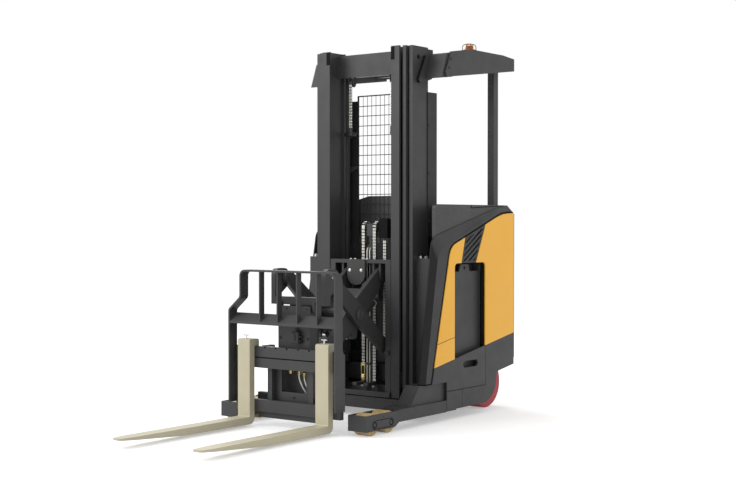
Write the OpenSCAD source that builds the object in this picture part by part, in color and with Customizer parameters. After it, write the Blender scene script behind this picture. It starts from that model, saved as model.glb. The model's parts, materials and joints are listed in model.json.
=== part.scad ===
// Stand-up reach truck with a three-stage mast and a scissor reach.
// Forks point to -Y, the truck's left side is +X, the floor is z = 0.
// Lengths along Y are first measured from the front end of the base legs.

/* [Base legs and load wheels] */
// Width over the base legs and the body sides
truck_w = 1174; // [1100:1:1300]
// Width of one base leg
leg_w = 138; // [126:1:150]
// Underside of the leg beam above the floor
leg_z = 57; // [45:1:66]
// Height of the leg beam
leg_h = 75; // [65:1:82]
// Length of the wheel block at the leg's front end
block_l = 334; // [332:1:360]
// Underside of the wheel block above the floor
block_z = 32; // [24:1:45]
// Side plate of the wheel block
block_plate = 12; // [8:1:13]
// Load wheel diameter
load_d = 135; // [127:1:138]
// Load wheel width
load_w = 102; // [90:1:103]
// First load axle behind the leg's front end
load_y = 85; // [85:1:92]
// Distance between the two load axles
load_pitch = 165; // [160:1:165]
// Load axle diameter
load_axle_d = 40; // [30:1:50]

/* [Mast] */
// Height of the mast above the floor
mast_h = 2418; // [2300:1:2700]
// Half width over the outer rails
mast_x = 395; // [385:1:400]
// Front face of the outer rails
mast_y = 746; // [740:1:760]
// Depth of every rail
rail_d = 175; // [170:1:180]
// Rail flange and web thickness
rail_t = 16; // [14:1:17]
// Flange width of the outer rails
rail_flange = 27; // [24:1:30]
// Flange width of the inner rails
inner_flange = 65; // [60:1:66]
// Gap seen between the flanges of nested rails
rail_reveal = 12; // [10:1:13]
// Running gap between nested rails
rail_gap = 5; // [5:0.5:6]
// Half width of the opening between the inner rails
mast_open = 254; // [252:1:258]
// Bottom of the moving rails above the chassis beam
rail_lift = 6; // [5:1:10]

/* [Reach scissor] */
// Scissor arm length, pin to pin
arm_l = 757; // [740:1:770]
// Arm angle from vertical in the drawn pose
arm_angle = 50.7; // [46:0.1:56]
// Height of the upper scissor pins
pin_z = 931; // [925:1:940]
// Scissor pin diameter
pin_d = 40; // [30:1:44]
// Scissor arm thickness
arm_t = 30; // [24:1:30]
// Radius of the arm ends
arm_r = 42; // [36:1:44]
// Radius of the arm's middle
arm_mid_r = 60; // [50:1:64]
// Scissor roller diameter
roller_d = 72; // [60:1:76]

/* [Fork carriage and forks] */
// Fork blade length
fork_l = 1067; // [900:1:1200]
// Fork width
fork_w = 100; // [80:1:120]
// Fork thickness at the heel
fork_t = 45; // [40:1:50]
// Half distance between the fork centres
fork_x = 315; // [280:1:340]
// Upper edge of the fork bar
bar_top = 502; // [495:1:510]
// Height over both fork bars
bar_span = 407; // [400:1:412]
// Half width over the load backrest
rest_x = 432; // [425:1:437]
// Top of the load backrest
rest_top = 983; // [900:1:1200]

/* [Body] */
// Rear face of the body
body_rear = 1691; // [1690:1:1720]
// Top of the hood
hood_top = 1395; // [1380:1:1420]
// Thickness of the body sides
side_t = 40; // [30:1:44]
// Upper edge of the body side at the rear
side_top = 1340; // [1330:1:1350]
// Drive wheel diameter
drive_d = 343; // [330:1:350]
// Drive wheel width
drive_w = 120; // [110:1:124]
// Caster wheel diameter
caster_d = 203; // [180:1:210]
// Caster wheel width
caster_w = 62; // [50:1:66]

/* [Overhead guard] */
// Top of the overhead guard
guard_top = 2423; // [2400:1:2440]
// Half width of the overhead guard
guard_x = 555; // [545:1:575]
// Guard side plate thickness
guard_t = 12; // [8:1:16]

/* [Hidden] */
$fn = 48;
// Paint and material colours used for the preview
dark = [0.30, 0.30, 0.31];
black = [0.10, 0.10, 0.11];
yellow = [0.93, 0.70, 0.33];
beige = [0.76, 0.73, 0.62];
steel = [0.62, 0.62, 0.63];
tan = [0.74, 0.62, 0.43];
red = [0.72, 0.26, 0.28];
amber = [0.80, 0.33, 0.12];
gold = [0.75, 0.60, 0.25];
// Fits: running pin fit, free moving gap, keyed gap of fixed pins
fit = 0.08;
ram_pin = 12;
ram_eye = 21;
gap = 5;
seat = 0.2;
slide = 0.3;
// Legs
leg_x1 = truck_w / 2;
leg_x0 = leg_x1 - leg_w;
leg_mid = (leg_x0 + leg_x1) / 2;
leg_top = leg_z + leg_h;
load_y2 = load_y + load_pitch;
load_z = load_d / 2;
leg_end = 855;
gusset_top = 250;
gusset_y = [486, 574, 880];
// Groove round the axle ends: outer and inner radius, depth
axle_groove = [27, 23, 3];
lock_hole = [170, 105, 4];
// Mast: the outer, middle and inner rails step inward and forward
rail_step = rail_t + rail_gap;
outer_tip = mast_x - rail_flange;
mid_x1 = outer_tip - rail_reveal;
mid_web0 = mid_x1 - 11;
inner_x1 = mast_open + inner_flange;
inner_web0 = mast_open + rail_t;
inner_web1 = inner_web0 + rail_t;
mid_x0 = inner_x1 + rail_reveal;
guide_r = rail_d / 2 - rail_t - slide;
mast_rear = mast_y + rail_d;
mid_y = mast_y - rail_step;
mid_rear = mast_rear - rail_step;
inner_y = mid_y - rail_step;
inner_rear = mid_rear - rail_step;
rail_z = leg_top + rail_lift;
// Lift cylinders behind the rails
lift_x = 290;
lift_r = 26;
lift_rod_r = 16;
lift_y = mid_rear + gap + 4 + lift_r;
tie_y = lift_y + lift_r + gap;
tie_t = 12;
tie_rear = tie_y + tie_t;
lift_top = mast_h - 110;
lug_top_z = mast_h - 70;
// Reach carriage
track_x1 = mast_open - rail_gap;
track_w = 42;
track_t = 12;
track_x0 = track_x1 - track_w;
track_y0 = inner_y + 2;
track_in = roller_d + 2 * gap;
pivot_y = track_y0 + track_t + track_in / 2;
track_y1 = track_y0 + 2 * track_t + track_in;
carriage_z0 = rail_z + 2;
carriage_z1 = 1034;
// Scissor pins in the drawn pose
arm_dy = arm_l * sin(arm_angle);
arm_dz = arm_l * cos(arm_angle);
front_y = pivot_y - arm_dy;
low_z = pin_z - arm_dz;
mid_pin = [pivot_y - arm_dy / 2, pin_z - arm_dz / 2];
arm_b0 = 112;
arm_b1 = arm_b0 + arm_t;
arm_a0 = arm_b1 + 8;
arm_a1 = arm_a0 + arm_t;
lug_x0 = arm_a1 + 6;
lug_x1 = lug_x0 + 34;
// Fork frame and tilt hinge
slot_x1 = arm_b0 - 4;
slot_x0 = slot_x1 - 60;
frame_y0 = front_y - track_in / 2 - track_t;
frame_y1 = front_y + track_in / 2 + track_t;
// The slots' rear flanges end below the cross tube of the folded scissor
slot_top = 520;
tube_room = 26;
cross_z = [765, 812];
cross_y0 = frame_y0 - 49;
tilt_y = frame_y0 - 52;
tilt_z = 740;
tilt_rod_z = 430;
plate_x = 128;
plate_y = tilt_y - 36;
plate_t = 20;
plate_top = 760;
// Fork bars
bar_y1 = plate_y - 37;
bar_y0 = bar_y1 - 33;
bar_low = bar_top - bar_span;
fork_y1 = bar_y0;
fork_y0 = fork_y1 - fork_t;
fork_tip = fork_y0 - fork_l;
fork_z = 60;
// Body
side_x0 = leg_x1 - side_t;
skin_x0 = leg_x1 - 8;
skirt_x0 = leg_x1 - 12;
guard_rear = body_rear + 54;
drive_x = leg_x1 - 191;
drive_y = body_rear - 141;
drive_z = drive_d / 2;
caster_y = drive_y + 50;
caster_z = caster_d / 2;
// Everything is drawn about the middle of its length
y_shift = -(fork_tip + guard_rear) / 2;

module placed() { translate([0, y_shift, 0]) children(); }
module both() { children(); mirror([1, 0, 0]) children(); }
module span(x, y, z) { translate([x[0], y[0], z[0]]) cube([x[1] - x[0], y[1] - y[0], z[1] - z[0]]); }
module rod_x(r, x, y, z) { translate([x[0], y, z]) rotate([0, 90, 0]) cylinder(r = r, h = x[1] - x[0]); }
module rod_y(r, x, y, z) { translate([x, y[1], z]) rotate([90, 0, 0]) cylinder(r = r, h = y[1] - y[0]); }
module rod_z(r, x, y, z) { translate([x, y, z[0]]) cylinder(r = r, h = z[1] - z[0]); }
// Outline drawn in Y and Z, given a thickness in X
module side(x, outline) {
  translate([x[0], 0, 0]) rotate([90, 0, 90]) linear_extrude(x[1] - x[0]) polygon(outline);
}
// Outline drawn in X and Z, given a thickness in Y
module face(y, outline) {
  translate([0, y[1], 0]) rotate([90, 0, 0]) linear_extrude(y[1] - y[0]) polygon(outline);
}
// Straight link between two round ends, lying in Y and Z
module link(x, p, q, rp, rq) {
  dist = norm(q - p);
  dir = atan2(q[1] - p[1], q[0] - p[0]);
  turn = acos((rp - rq) / dist);
  rod_x(rp, x, p[0], p[1]);
  rod_x(rq, x, q[0], q[1]);
  side(x, [
    p + rp * [cos(dir + turn), sin(dir + turn)], q + rq * [cos(dir + turn), sin(dir + turn)],
    q + rq * [cos(dir - turn), sin(dir - turn)], p + rp * [cos(dir - turn), sin(dir - turn)]
  ]);
}
// Corner list [y, z, radius] to a rounded outline
function unit(v) = v / norm(v);
function corner(p, c, n, r, n_fix = 0) =
  let (a = unit(p - c), b = unit(n - c), half = acos(max(-1, min(1, a * b))) / 2,
    cut = r / tan(half), s = c + a * cut, m = c + unit(a + b) * r / sin(half),
    from = atan2(s[1] - m[1], s[0] - m[0]), e = c + b * cut,
    raw = atan2(e[1] - m[1], e[0] - m[0]) - from,
    sweep = raw > 180 ? raw - 360 : raw < -180 ? raw + 360 : raw,
    steps = n_fix > 0 ? n_fix : max(2, ceil(abs(sweep) / 11)))
  [for (i = [0 : steps]) m + r * [cos(from + sweep * i / steps), sin(from + sweep * i / steps)]];
function flat(c) = [c[0], c[1]];
function rounded(pts) = [for (i = [0 : len(pts) - 1])
  let (n = len(pts), p = pts[(i + n - 1) % n], c = pts[i], q = pts[(i + 1) % n])
  each (c[2] > 0 ? corner(flat(p), flat(c), flat(q), c[2]) : [flat(c)])];

module axle_ring(r)
  link([leg_x1 - axle_groove[2], leg_x1 + 1], [load_y, load_z], [load_y2, load_z], r, r);
// One leg with its open wheel block and the foot under the body side
module leg() {
  difference() {
    union() {
      side([leg_x0, leg_x1], [
        [0, block_z], [block_l - 45, block_z], [block_l, leg_z], [leg_end, leg_z],
        [leg_end, leg_top], [block_l, leg_top], [block_l, leg_top - 4], [0, leg_top - 4]
      ]);
      side([leg_x0 + 10, leg_x1 - 20], [
        [gusset_y[0], leg_top - 2], [gusset_y[1], gusset_top], [gusset_y[2], gusset_top], [gusset_y[2], leg_top],
        [leg_end, leg_top], [leg_end, leg_top - 2]
      ]);
    }
    span([leg_x0 + block_plate, leg_x1 - block_plate], [11, block_l - 10], [0, leg_top + 40]);
    for (y = [load_y, load_y2]) rod_x(load_axle_d / 2 + seat, [leg_x0 - 1, leg_x1 + 1], y, load_z);
    rod_x(lock_hole[2], [leg_x1 - block_plate - 1, leg_x1 + 1], lock_hole[0], lock_hole[1]);
    difference() {
      axle_ring(axle_groove[0]);
      axle_ring(axle_groove[1]);
    }
  }
}
module base_legs() placed() color(dark) both() leg();
module load_axles() placed() color(steel) both()
  for (y = [load_y, load_y2]) rod_x(load_axle_d / 2, [leg_x0 + 2, leg_x1 - 2], y, load_z);
module load_wheel(s, y) placed() color(tan) translate([s * leg_mid, y, load_z]) rotate([0, 90, 0])
  rotate_extrude() polygon([
    [load_axle_d / 2 + fit, -load_w / 2], [load_d / 2 - 4, -load_w / 2], [load_d / 2, -load_w / 2 + 5],
    [load_d / 2, load_w / 2 - 5], [load_d / 2 - 4, load_w / 2], [load_axle_d / 2 + fit, load_w / 2]
  ]);
module load_wheel_lf() load_wheel(1, load_y);
module load_wheel_lr() load_wheel(1, load_y2);
module load_wheel_rf() load_wheel(-1, load_y);
module load_wheel_rr() load_wheel(-1, load_y2);

// Frame: front beam, battery tray, bulkheads, floor and drive bay
bay_x = 165;
floor_z = 285;
bulk_y = tie_rear + gap;
bay_y = 1315;
tray_z = [110, 190];
bulk_top = 1050;
bay_top = 950;
mount_z = 425;
mount_y = [790, 905];
mount_top = 1045;
mount_step = 790;
mount_r = 115;
post_r = 95;
module mast_mount() {
  span([mast_x, leg_x0], mount_y, [leg_top - 1, mount_top]);
  span([mast_x, leg_x0 + 21], mount_y, [gusset_top, mount_top]);
  span([mast_x, leg_x0 + 46], mount_y, [mount_step, mount_top]);
}
module chassis_frame() placed() color(dark) difference() {
  union() {
    span([-leg_x0, leg_x0], [690, tie_y + 20], [leg_z, leg_top]);
    both() span([leg_x0 - 1, skirt_x0], [leg_end, tie_y + 20], [leg_z, leg_top]);
    span([-skirt_x0, skirt_x0], [tie_y, bay_y], tray_z);
    span([-side_x0 + 22, side_x0 - 22], [bulk_y, bulk_y + 10], [tray_z[1] - 1, bulk_top]);
    span([-side_x0, side_x0], [bay_y - 12, bay_y], [tray_z[1] - 1, bulk_top]);
    both() mast_mount();
    span([-side_x0, bay_x + 12], [bay_y - 1, body_rear], [floor_z - 23, floor_z]);
    span([bay_x, bay_x + 12], [bay_y - 1, body_rear], [floor_z - 23, bay_top]);
    span([bay_x, side_x0], [body_rear - 12, body_rear], [mount_z - 25, bay_top]);
    span([bay_x, side_x0], [bay_y - 1, body_rear], [mount_z - 20, mount_z]);
    span([-drive_x - post_r, -drive_x + post_r], [drive_y - post_r, drive_y + post_r], [floor_z - 47, floor_z - 20]);
    span([-side_x0, bay_x], [body_rear - 25, body_rear], [floor_z - 55, floor_z - 20]);
  }
  rod_z(mount_r, drive_x, drive_y, [mount_z - 35, mount_z + 15]);
}

// Body side lines shared by the frame, panels, vent and skirt; b sets a side's pillar back
// Each side: set-back of the pillar, radius of its head, start of the battery recess, recess corner,
// how far the crease runs ahead at the foot and at the head, shoulder foot, shoulder head y and z
left_side = [0, 110, 950, 30, 67, 138, 596, 735, 1180];
right_side = [130, 50, 1060, 0, 46, 46, 783, 923, 1222];
// Shadow gap round the panels
panel_gap = 12;
crease = 24;
sill_y = 716;
sill_z = 352;
sill_slope = 0.169;
foot_y = 691;
head = [905, 1121];
knee_y = 1547;
tail_y = 1656;
pillar_slope = (head[0] - foot_y) / (head[1] - gusset_top);
crest_slope = (side_top - head[1]) / (knee_y - head[0]);
function sill(y) = sill_z + sill_slope * (y - sill_y);
function crest(y) = head[1] + crest_slope * (y - head[0]);
function sill_foot(b) =
  (foot_y + b + pillar_slope * (sill(0) - gusset_top)) / (1 - pillar_slope * sill_slope);
function head_at(b) = [head[0] + b, crest(head[0] + b)];
// Line of the arch, its foot moved forward by f, its head by g and all up by u, from the foot to the rear
function arch(b, f, g, u, r) =
  let (foot = [foot_y + b - f, gusset_top], top = [head[0] + b - g, crest(head[0] + b - g) + u],
    knee = [knee_y, side_top + u], tail = [tail_y, side_top + u])
  concat([foot], corner(foot, top, knee, r, 7), corner(top, knee, tail, 480, 4),
    [tail, [body_rear, side_top + u / 5]]);
// Raised shoulder inside the arch: steeper pillar edge and a higher, straighter crest
function shoulder(v) =
  let (foot = [v[6], gusset_top], top = [v[7], v[8]],
    knee = [1500, 1372], tail = [tail_y, hood_top])
  concat([foot], corner(foot, top, knee, 80, 7), corner(top, knee, tail, 400, 4),
    [tail, [body_rear, side_top + 8]]);
// Bevelled band between the arch and the shoulder
module band(v) {
  lines = [
    arch(v[0], 0, 0, 0, v[1]), arch(v[0], panel_gap, panel_gap, panel_gap, v[1]),
    arch(v[0], v[4], v[5], crease, v[1] + 30), shoulder(v)
  ];
  // Each row: distance from the middle and the line it follows
  rows = [
    [side_x0, 0], [skin_x0 - 2, 0], [skin_x0 - 2, 1], [leg_x1 - 4, 1], [leg_x1 - 4, 2], [side_x0 + 6, 3], [side_x0, 3]
  ];
  n = len(lines[0]);
  m = len(rows);
  polyhedron([for (row = rows, p = lines[row[1]]) [row[0], p[0], p[1]]], [
    [for (k = [m - 1 : -1 : 0]) k * n], [for (k = [0 : m - 1]) k * n + n - 1],
    for (k = [0 : m - 1], i = [0 : n - 2])
      let (a = k * n + i, c = (k + 1) % m * n + i)
        each [[a, c + 1, a + 1], [a, c, c + 1]]
  ]);
}
gate_y1 = 1321;
gate_z = 1012;
vent_y = [1028, 1205, 1324, 1072];
vent = [[vent_y[0], gate_z], [vent_y[1], gate_z], [vent_y[2], crest(vent_y[2])], [vent_y[3], crest(vent_y[3])]];
// Opening behind the vent and the rising slots in it
vent_hole = [[1052, gate_z + 14], [1196, gate_z + 14], [1300, crest(1300) - 14], [1086, crest(1086) - 14]];
slot_rise = 0.62;
slot_pitch = 36;
slot_w = 14;
module vent_slot(i) {
  low = gate_z - 160 + i * slot_pitch;
  high = low + slot_rise * (vent_y[2] - vent_y[0]);
  side([skin_x0 - 1, leg_x1], [
    [vent_y[0], low], [vent_y[2], high], [vent_y[2], high + slot_w], [vent_y[0], low + slot_w]
  ]);
}
module side_frame(v) {
  foot = sill_foot(v[0]) - 5;
  band(v);
  difference() {
    side([side_x0, skin_x0], concat(arch(v[0], 5, 5, 5, v[1]), [[body_rear, sill(body_rear)], [foot, sill(foot)]]));
    side([side_x0 - 1, skin_x0 + 1], rounded([
      [v[2], gusset_top, 0], [v[2], gate_z, v[3]], [gate_y1, gate_z, left_side[3]], [gate_y1, gusset_top, 0]
    ]));
    side([side_x0 - 1, skin_x0 + 1], vent_hole);
  }
}
module side_frames() placed() color(dark) {
  side_frame(left_side);
  mirror([1, 0, 0]) side_frame(right_side);
}
skirt_seam = [leg_x1 - 6, leg_x1 + 1];
module side_skirt(b) difference() {
  side([skirt_x0, leg_x1], rounded([
    [foot_y + b, gusset_top, 0], [sill_foot(b), sill(sill_foot(b)), 0], [body_rear, sill(body_rear), 0],
    [body_rear, 299, 0], [1468, 265, 20], [1448, 70, 165], [859, 66, 0], [859, gusset_top, 0]
  ]));
  span(skirt_seam, [1325, 1329], [187, gate_z]);
  span(skirt_seam, [859, 1329], [187, 191]);
  span(skirt_seam, [1037, 1041], [0, 191]);
  side([skirt_x0 - 1, leg_x1 + 1], [[1047, 347], [1065, 325], [1213, 325], [1231, 347], [1213, 369], [1065, 369]]);
}
module side_skirts() placed() color(dark) {
  side_skirt(left_side[0]);
  mirror([1, 0, 0]) side_skirt(right_side[0]);
}
// Seam across the front panel: height above the sill and width
panel_seam = 139;
seam_w = 4;
module side_panel(v) {
  foot = sill_foot(v[0]);
  top = head_at(v[0]);
  difference() {
    side([skin_x0, leg_x1], rounded([
      [foot, sill(foot), 0], [top[0], top[1], v[1]], [vent_y[3], crest(vent_y[3]), 0],
      [vent_y[0], gate_z, 0], [v[2], gate_z, v[3]], [v[2], sill(v[2]), 0]
    ]));
    side([skin_x0 - 1, leg_x1 + 1], [for (p = [[0, 0], [1, 0], [1, 1], [0, 1]])
      [foot_y + p[0] * 500, sill(foot_y + p[0] * 500) + panel_seam + p[1] * seam_w]]);
  }
  side([skin_x0, leg_x1], rounded([
    [vent_y[2], crest(vent_y[2]), 0], [knee_y, side_top, 480], [body_rear, side_top, 0],
    [body_rear, sill(body_rear), 0], [gate_y1, sill(gate_y1), 0], [gate_y1, gate_z, left_side[3]], [vent_y[1], gate_z, 0]
  ]));
}
module side_panels() placed() color(yellow) {
  side_panel(left_side);
  mirror([1, 0, 0]) side_panel(right_side);
}
module side_vents() placed() color(black) both() difference() {
  side([skin_x0, leg_x1 - 2], vent);
  intersection() {
    side([skin_x0 - 1, leg_x1], vent_hole);
    for (i = [0 : 9]) vent_slot(i);
  }
}
battery_x = side_x0 - 47;
gate_y0 = 962;
gate_end = 1300;
gate_top = 955;
module battery() placed() color(black)
  span([-battery_x, battery_x], [bulk_y + 18, bay_y - 24], [tray_z[1], 1000]);
module battery_gates() placed() color(dark) both() difference() {
  side([side_x0 - 17, side_x0 - 5], [
    [gate_y0, tray_z[1]], [gate_end, tray_z[1]], [gate_end, gate_top], [1195, gate_top], [1180, gate_top + 48],
    [1085, gate_top + 48], [1070, gate_top], [gate_y0, gate_top]
  ]);
  rod_x(10, [side_x0 - 18, side_x0 - 4], 1132, gate_top + 23);
}
// Hood over the battery, higher along both sides, with the console on the left
hood_x = side_x0 - seat;
deck_z = 1180;
console_z = 1150;
ledge_x = 420;
wing_y = 790;
wing_z = 1130;
wing_t = 30;
dash_x = [-250, 150];
dash_y = bulk_y + 20;
dash_t = 110;
dash_top = 1457;
module hood() placed() color(dark) {
  span([-hood_x, hood_x], [bulk_y, bay_y + 1], [bulk_top, deck_z]);
  side([ledge_x, hood_x], rounded([
    [bulk_y, bulk_top + 1, 0], [bay_y, bulk_top + 1, 0], [bay_y, bay_top, 0], [body_rear, bay_top, 0],
    [body_rear, side_top + 8, 0], [tail_y, hood_top, 0], [bulk_y, hood_top, 0]
  ]));
  side([hood_x - wing_t, hood_x], rounded([
    [bulk_y + 1, hood_top, 0], [wing_y, hood_top, 25], [wing_y, wing_z, 60], [bulk_y + 1, wing_z, 0]
  ]));
  face([dash_y, dash_y + dash_t], [
    [dash_x[0], deck_z - 1], [dash_x[0], dash_top - 26], [dash_x[0] + 98, dash_top],
    [dash_x[1], dash_top], [dash_x[1], deck_z - 1]
  ]);
  side([bay_x, ledge_x + 1], [[bay_y, bay_top], [body_rear, bay_top], [body_rear, console_z], [bay_y, console_z]]);
  side([-hood_x, -ledge_x - 40], rounded([
    [1010, bulk_top + 1, 0], [bay_y, bulk_top + 1, 0], [bay_y, 1320, 40], [1010, 1240, 40]
  ]));
}
tiller = [290, 1490];
grip = [-240, 1262];
module console_controls() placed() color(black) {
  rod_z(32, tiller[0], tiller[1], [console_z, console_z + 30]);
  rod_z(95, tiller[0], tiller[1], [console_z + 29, console_z + 48]);
  rod_z(16, tiller[0] - 60, tiller[1], [console_z + 47, console_z + 95]);
  span([grip[0] - 90, grip[0] + 90], [grip[1] - 45, grip[1] + 45], [deck_z, deck_z + 40]);
  rod_z(24, grip[0], grip[1], [deck_z + 39, deck_z + 125]);
}
module back_pad() placed() color(black)
  span([-side_x0, -side_x0 + 55], [bay_y + 75, body_rear - 41], [880, 1250]);

// Overhead guard, its arms to the mast and its single rear pillar
guard_x0 = guard_x - guard_t;
guard_bar = guard_top - 38;
pillar_y = [1598, tail_y - 2];
beacon_x = guard_x - 65;
beacon_y = 1268;
module overhead_guard() placed() color(dark) {
  both() side([guard_x0, guard_x], [
    [904, guard_top - 206], [889, guard_top - 177], [954, guard_top - 37], [1191, guard_top],
    [pillar_y[0], guard_top], [guard_rear, guard_top - 13], [guard_rear, guard_top - 97]
  ]);
  for (y = [1010 : 90 : 1550]) span([-guard_x0 - 1, guard_x0 + 1], [y, y + 12], [guard_bar - 40, guard_bar]);
  span([-guard_x0 - 1, guard_x0 + 1], pillar_y, [guard_bar - 45, guard_bar]);
  span([-guard_x0 - 1, guard_x0 + 1], [guard_rear - 30, guard_rear], [guard_bar - 45, guard_bar]);
  span([beacon_x - 45, guard_x0 + 1], [beacon_y - 53, beacon_y + 52], [guard_bar - 20, guard_bar]);
}
module guard_arms() placed() color(dark) both() side([mast_x, guard_x0], [
  [858, guard_top - 214], [918, guard_top - 51], [985, guard_top - 38], [985, guard_top - 198]
]);
module guard_pillar() placed() color(dark) span([ledge_x + 10, ledge_x + 60], pillar_y, [hood_top, guard_bar - 45]);
cage_r = 48;
cage_h = 88;
module beacon() placed() color(amber) {
  rod_z(40, beacon_x, beacon_y, [guard_bar, guard_bar + 22]);
  rod_z(29, beacon_x, beacon_y, [guard_bar + 21, guard_bar + 78]);
}
module cage_ring(z, r) difference() {
  rod_z(cage_r, beacon_x, beacon_y, [z, z + 4]);
  rod_z(r, beacon_x, beacon_y, [z - 1, z + 5]);
}
module beacon_cage() placed() color(gold) {
  for (a = [0 : 60 : 300]) translate([beacon_x, beacon_y, 0]) rotate([0, 0, a])
    rod_z(2, cage_r - 3, 0, [guard_bar + 1, guard_bar + cage_h]);
  cage_ring(guard_bar, 40.5);
  for (z = [44, cage_h - 2]) cage_ring(guard_bar + z, cage_r - 5);
}

// Mast rails
module rail(web, tips_front, tips_rear, y, z) {
  span(web, y, z);
  span(tips_front, [y[0], y[0] + rail_t], z);
  span(tips_rear, [y[1] - rail_t, y[1]], z);
}
lift_hole_y = mast_y + 67;
tie_z = [330, mast_h - 80];
module mast_outer() placed() color(dark) {
  both() difference() {
    rail([mast_x - rail_t, mast_x], [outer_tip, mast_x], [outer_tip, mast_x], [mast_y, mast_rear], [leg_top, mast_h]);
    rod_x(16, [mast_x - rail_t - 1, mast_x + 1], lift_hole_y, lug_top_z);
  }
  for (z = tie_z) {
    span([-mast_x, mast_x], [tie_y, tie_rear], [z, z + 70]);
    both() span([outer_tip, mast_x], [mast_rear - 1, tie_rear], [z, z + 70]);
  }
}
module lift_barrels() placed() color(dark) both() difference() {
  rod_z(lift_r, lift_x, lift_y, [leg_top, lift_top]);
  rod_z(lift_rod_r + 4, lift_x, lift_y, [leg_top + 20, lift_top - 30]);
  rod_z(lift_rod_r + slide, lift_x, lift_y, [leg_top + 20, lift_top + 1]);
}
mesh_x = 217;
mesh_z = [hood_top - 265, mast_h - 276];
mesh_y1 = tie_rear + 37;
sheet_top = mesh_z[1] - 36;
// Mesh frame between two closed sheets whose edges wrap the outer rails
module mesh_guard() placed() color(black) {
  both() {
    span([mast_x, mast_x + 6], [mast_rear - 10, mesh_y1], [deck_z + gap, mesh_z[1] - 14]);
    span([mesh_x, mast_x + 1], [tie_rear, tie_rear + 4], [mesh_z[0], sheet_top]);
    span([mesh_x, mesh_x + 12], [tie_rear, tie_rear + 4], mesh_z);
  }
  for (z = [mesh_z[0], mesh_z[1] - 8]) span([-mesh_x - 1, mesh_x + 1], [tie_rear, tie_rear + 4], [z, z + 8]);
}
module mast_middle() placed() color(dark) {
  both() {
    rail([mid_web0, mid_x1], [mid_x0, mid_x1], [mid_x0, mid_x1], [mid_y, mid_rear], [rail_z, mast_h]);
    rod_x(guide_r, [mid_x1 - 1, mast_x - rail_t - 1], mast_y + rail_d / 2, rail_z + 110);
  }
  for (z = [220, mast_h - 140])
    span([-mid_web0 - 1, mid_web0 + 1], [mid_rear - rail_t, mid_rear], [z, z + 110]);
  both() span([lift_x - lift_r, lift_x + lift_r], [mid_rear - 1, lift_y + lift_r], [mast_h - 90, mast_h - 60]);
}
module lift_rods() placed() color(steel) both() rod_z(lift_rod_r, lift_x, lift_y, [leg_top + 60, mast_h - 90]);
module mast_inner() placed() color(dark) {
  both() {
    rail([inner_web0, inner_web1], [mast_open, inner_x1], [mast_open, inner_x1], [inner_y, inner_rear], [rail_z, mast_h]);
    rod_x(guide_r, [inner_web1 - 1, mid_web0 - 1], mid_y + rail_d / 2, rail_z + 110);
  }
  span([-inner_web0 - 1, inner_web0 + 1], [inner_rear - 63, inner_rear - rail_t], [mast_h - 168, mast_h - 18]);
  span([-inner_web0 - 1, inner_web0 + 1], [track_y1 + 10, inner_rear - rail_t], [rail_z, rail_z + 60]);
}
head_y = inner_rear - 41;
head_z = 1248;
head_low = head_z - 62;
barrel_top = head_z - 120;
sheave_r = 30;
head_rod_r = 18;
chain_x = 46;
module free_lift_barrel() placed() color(dark) difference() {
  rod_z(30, 0, head_y, [rail_z + 60, barrel_top]);
  rod_z(head_rod_r + 4, 0, head_y, [rail_z + 80, barrel_top - 30]);
  rod_z(head_rod_r + slide, 0, head_y, [rail_z + 80, barrel_top + 1]);
}
module lift_head() placed() color(dark) {
  rod_z(head_rod_r, 0, head_y, [rail_z + 100, head_low + 2]);
  span([-28, 28], [head_y - 24, head_y + 24], [head_low, head_z + 22]);
  rod_x(12, [-chain_x - 16, chain_x + 16], head_y, head_z);
  both() rod_x(sheave_r, [chain_x - 13, chain_x + 13], head_y, head_z);
}
// Chains: the front strands hang from the sheaves down to the reach carriage
module lift_chains() placed() color(steel) both()
  span([chain_x - 11, chain_x + 11], [head_y - sheave_r - 8, head_y - sheave_r - slide], [carriage_z0 + 80, head_z]);

// Reach carriage: tracks, top and bottom ties, pivots of the inner arms
module reach_carriage() placed() color(dark) {
  both() {
    span([track_x1 - track_t, track_x1], [track_y0, track_y1], [carriage_z0, carriage_z1]);
    span([track_x0, track_x1], [track_y0, track_y0 + track_t], [carriage_z0, carriage_z1]);
    span([track_x0, track_x1], [track_y1 - track_t, track_y1], [carriage_z0, carriage_z1]);
    for (z = [320, 880]) rod_x(guide_r, [track_x1 - 1, inner_web0 - gap], inner_y + rail_d / 2, z);
    for (x = [[arm_b0 - 18, arm_b0 - 4], [arm_b1 + 4, arm_b1 + 18]]) {
      rod_x(arm_r, x, pivot_y, pin_z);
      span(x, [pivot_y - arm_r, pivot_y + arm_r], [pin_z, carriage_z1 - 20]);
    }
    rod_x(pin_d / 2, [arm_b0 - 17, arm_b1 + 17], pivot_y, pin_z);
    link([arm_b0 - 14, arm_b0 - 4], ram_a, [ram_a[0] - 10, pin_z], 26, 30);
    rod_x(ram_pin, [ram_x - 14, arm_b0 - 5], ram_a[0], ram_a[1]);
  }
  span([-track_x1, track_x1], [track_y0, track_y0 + 74], [carriage_z1 - 24, carriage_z1]);
  span([-track_x1, track_x1], [track_y0 - 14, track_y0 + 1], [carriage_z0, carriage_z0 + 32]);
  face([track_y0 - 12, track_y0 + 1], rounded([
    [-98, carriage_z1, 0], [-98, 866, 68], [48, 866, 68], [48, carriage_z1, 0]
  ]));
  both() span([chain_x - 16, chain_x + 16], [track_y0, head_y - sheave_r - 1], [carriage_z0 + 60, carriage_z0 + 80]);
}
// Web between the inner arms: share of the upper half it covers, and its thickness
web_share = 0.62;
web_t = 14;
arm_half = [pivot_y, pin_z] - mid_pin;
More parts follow.
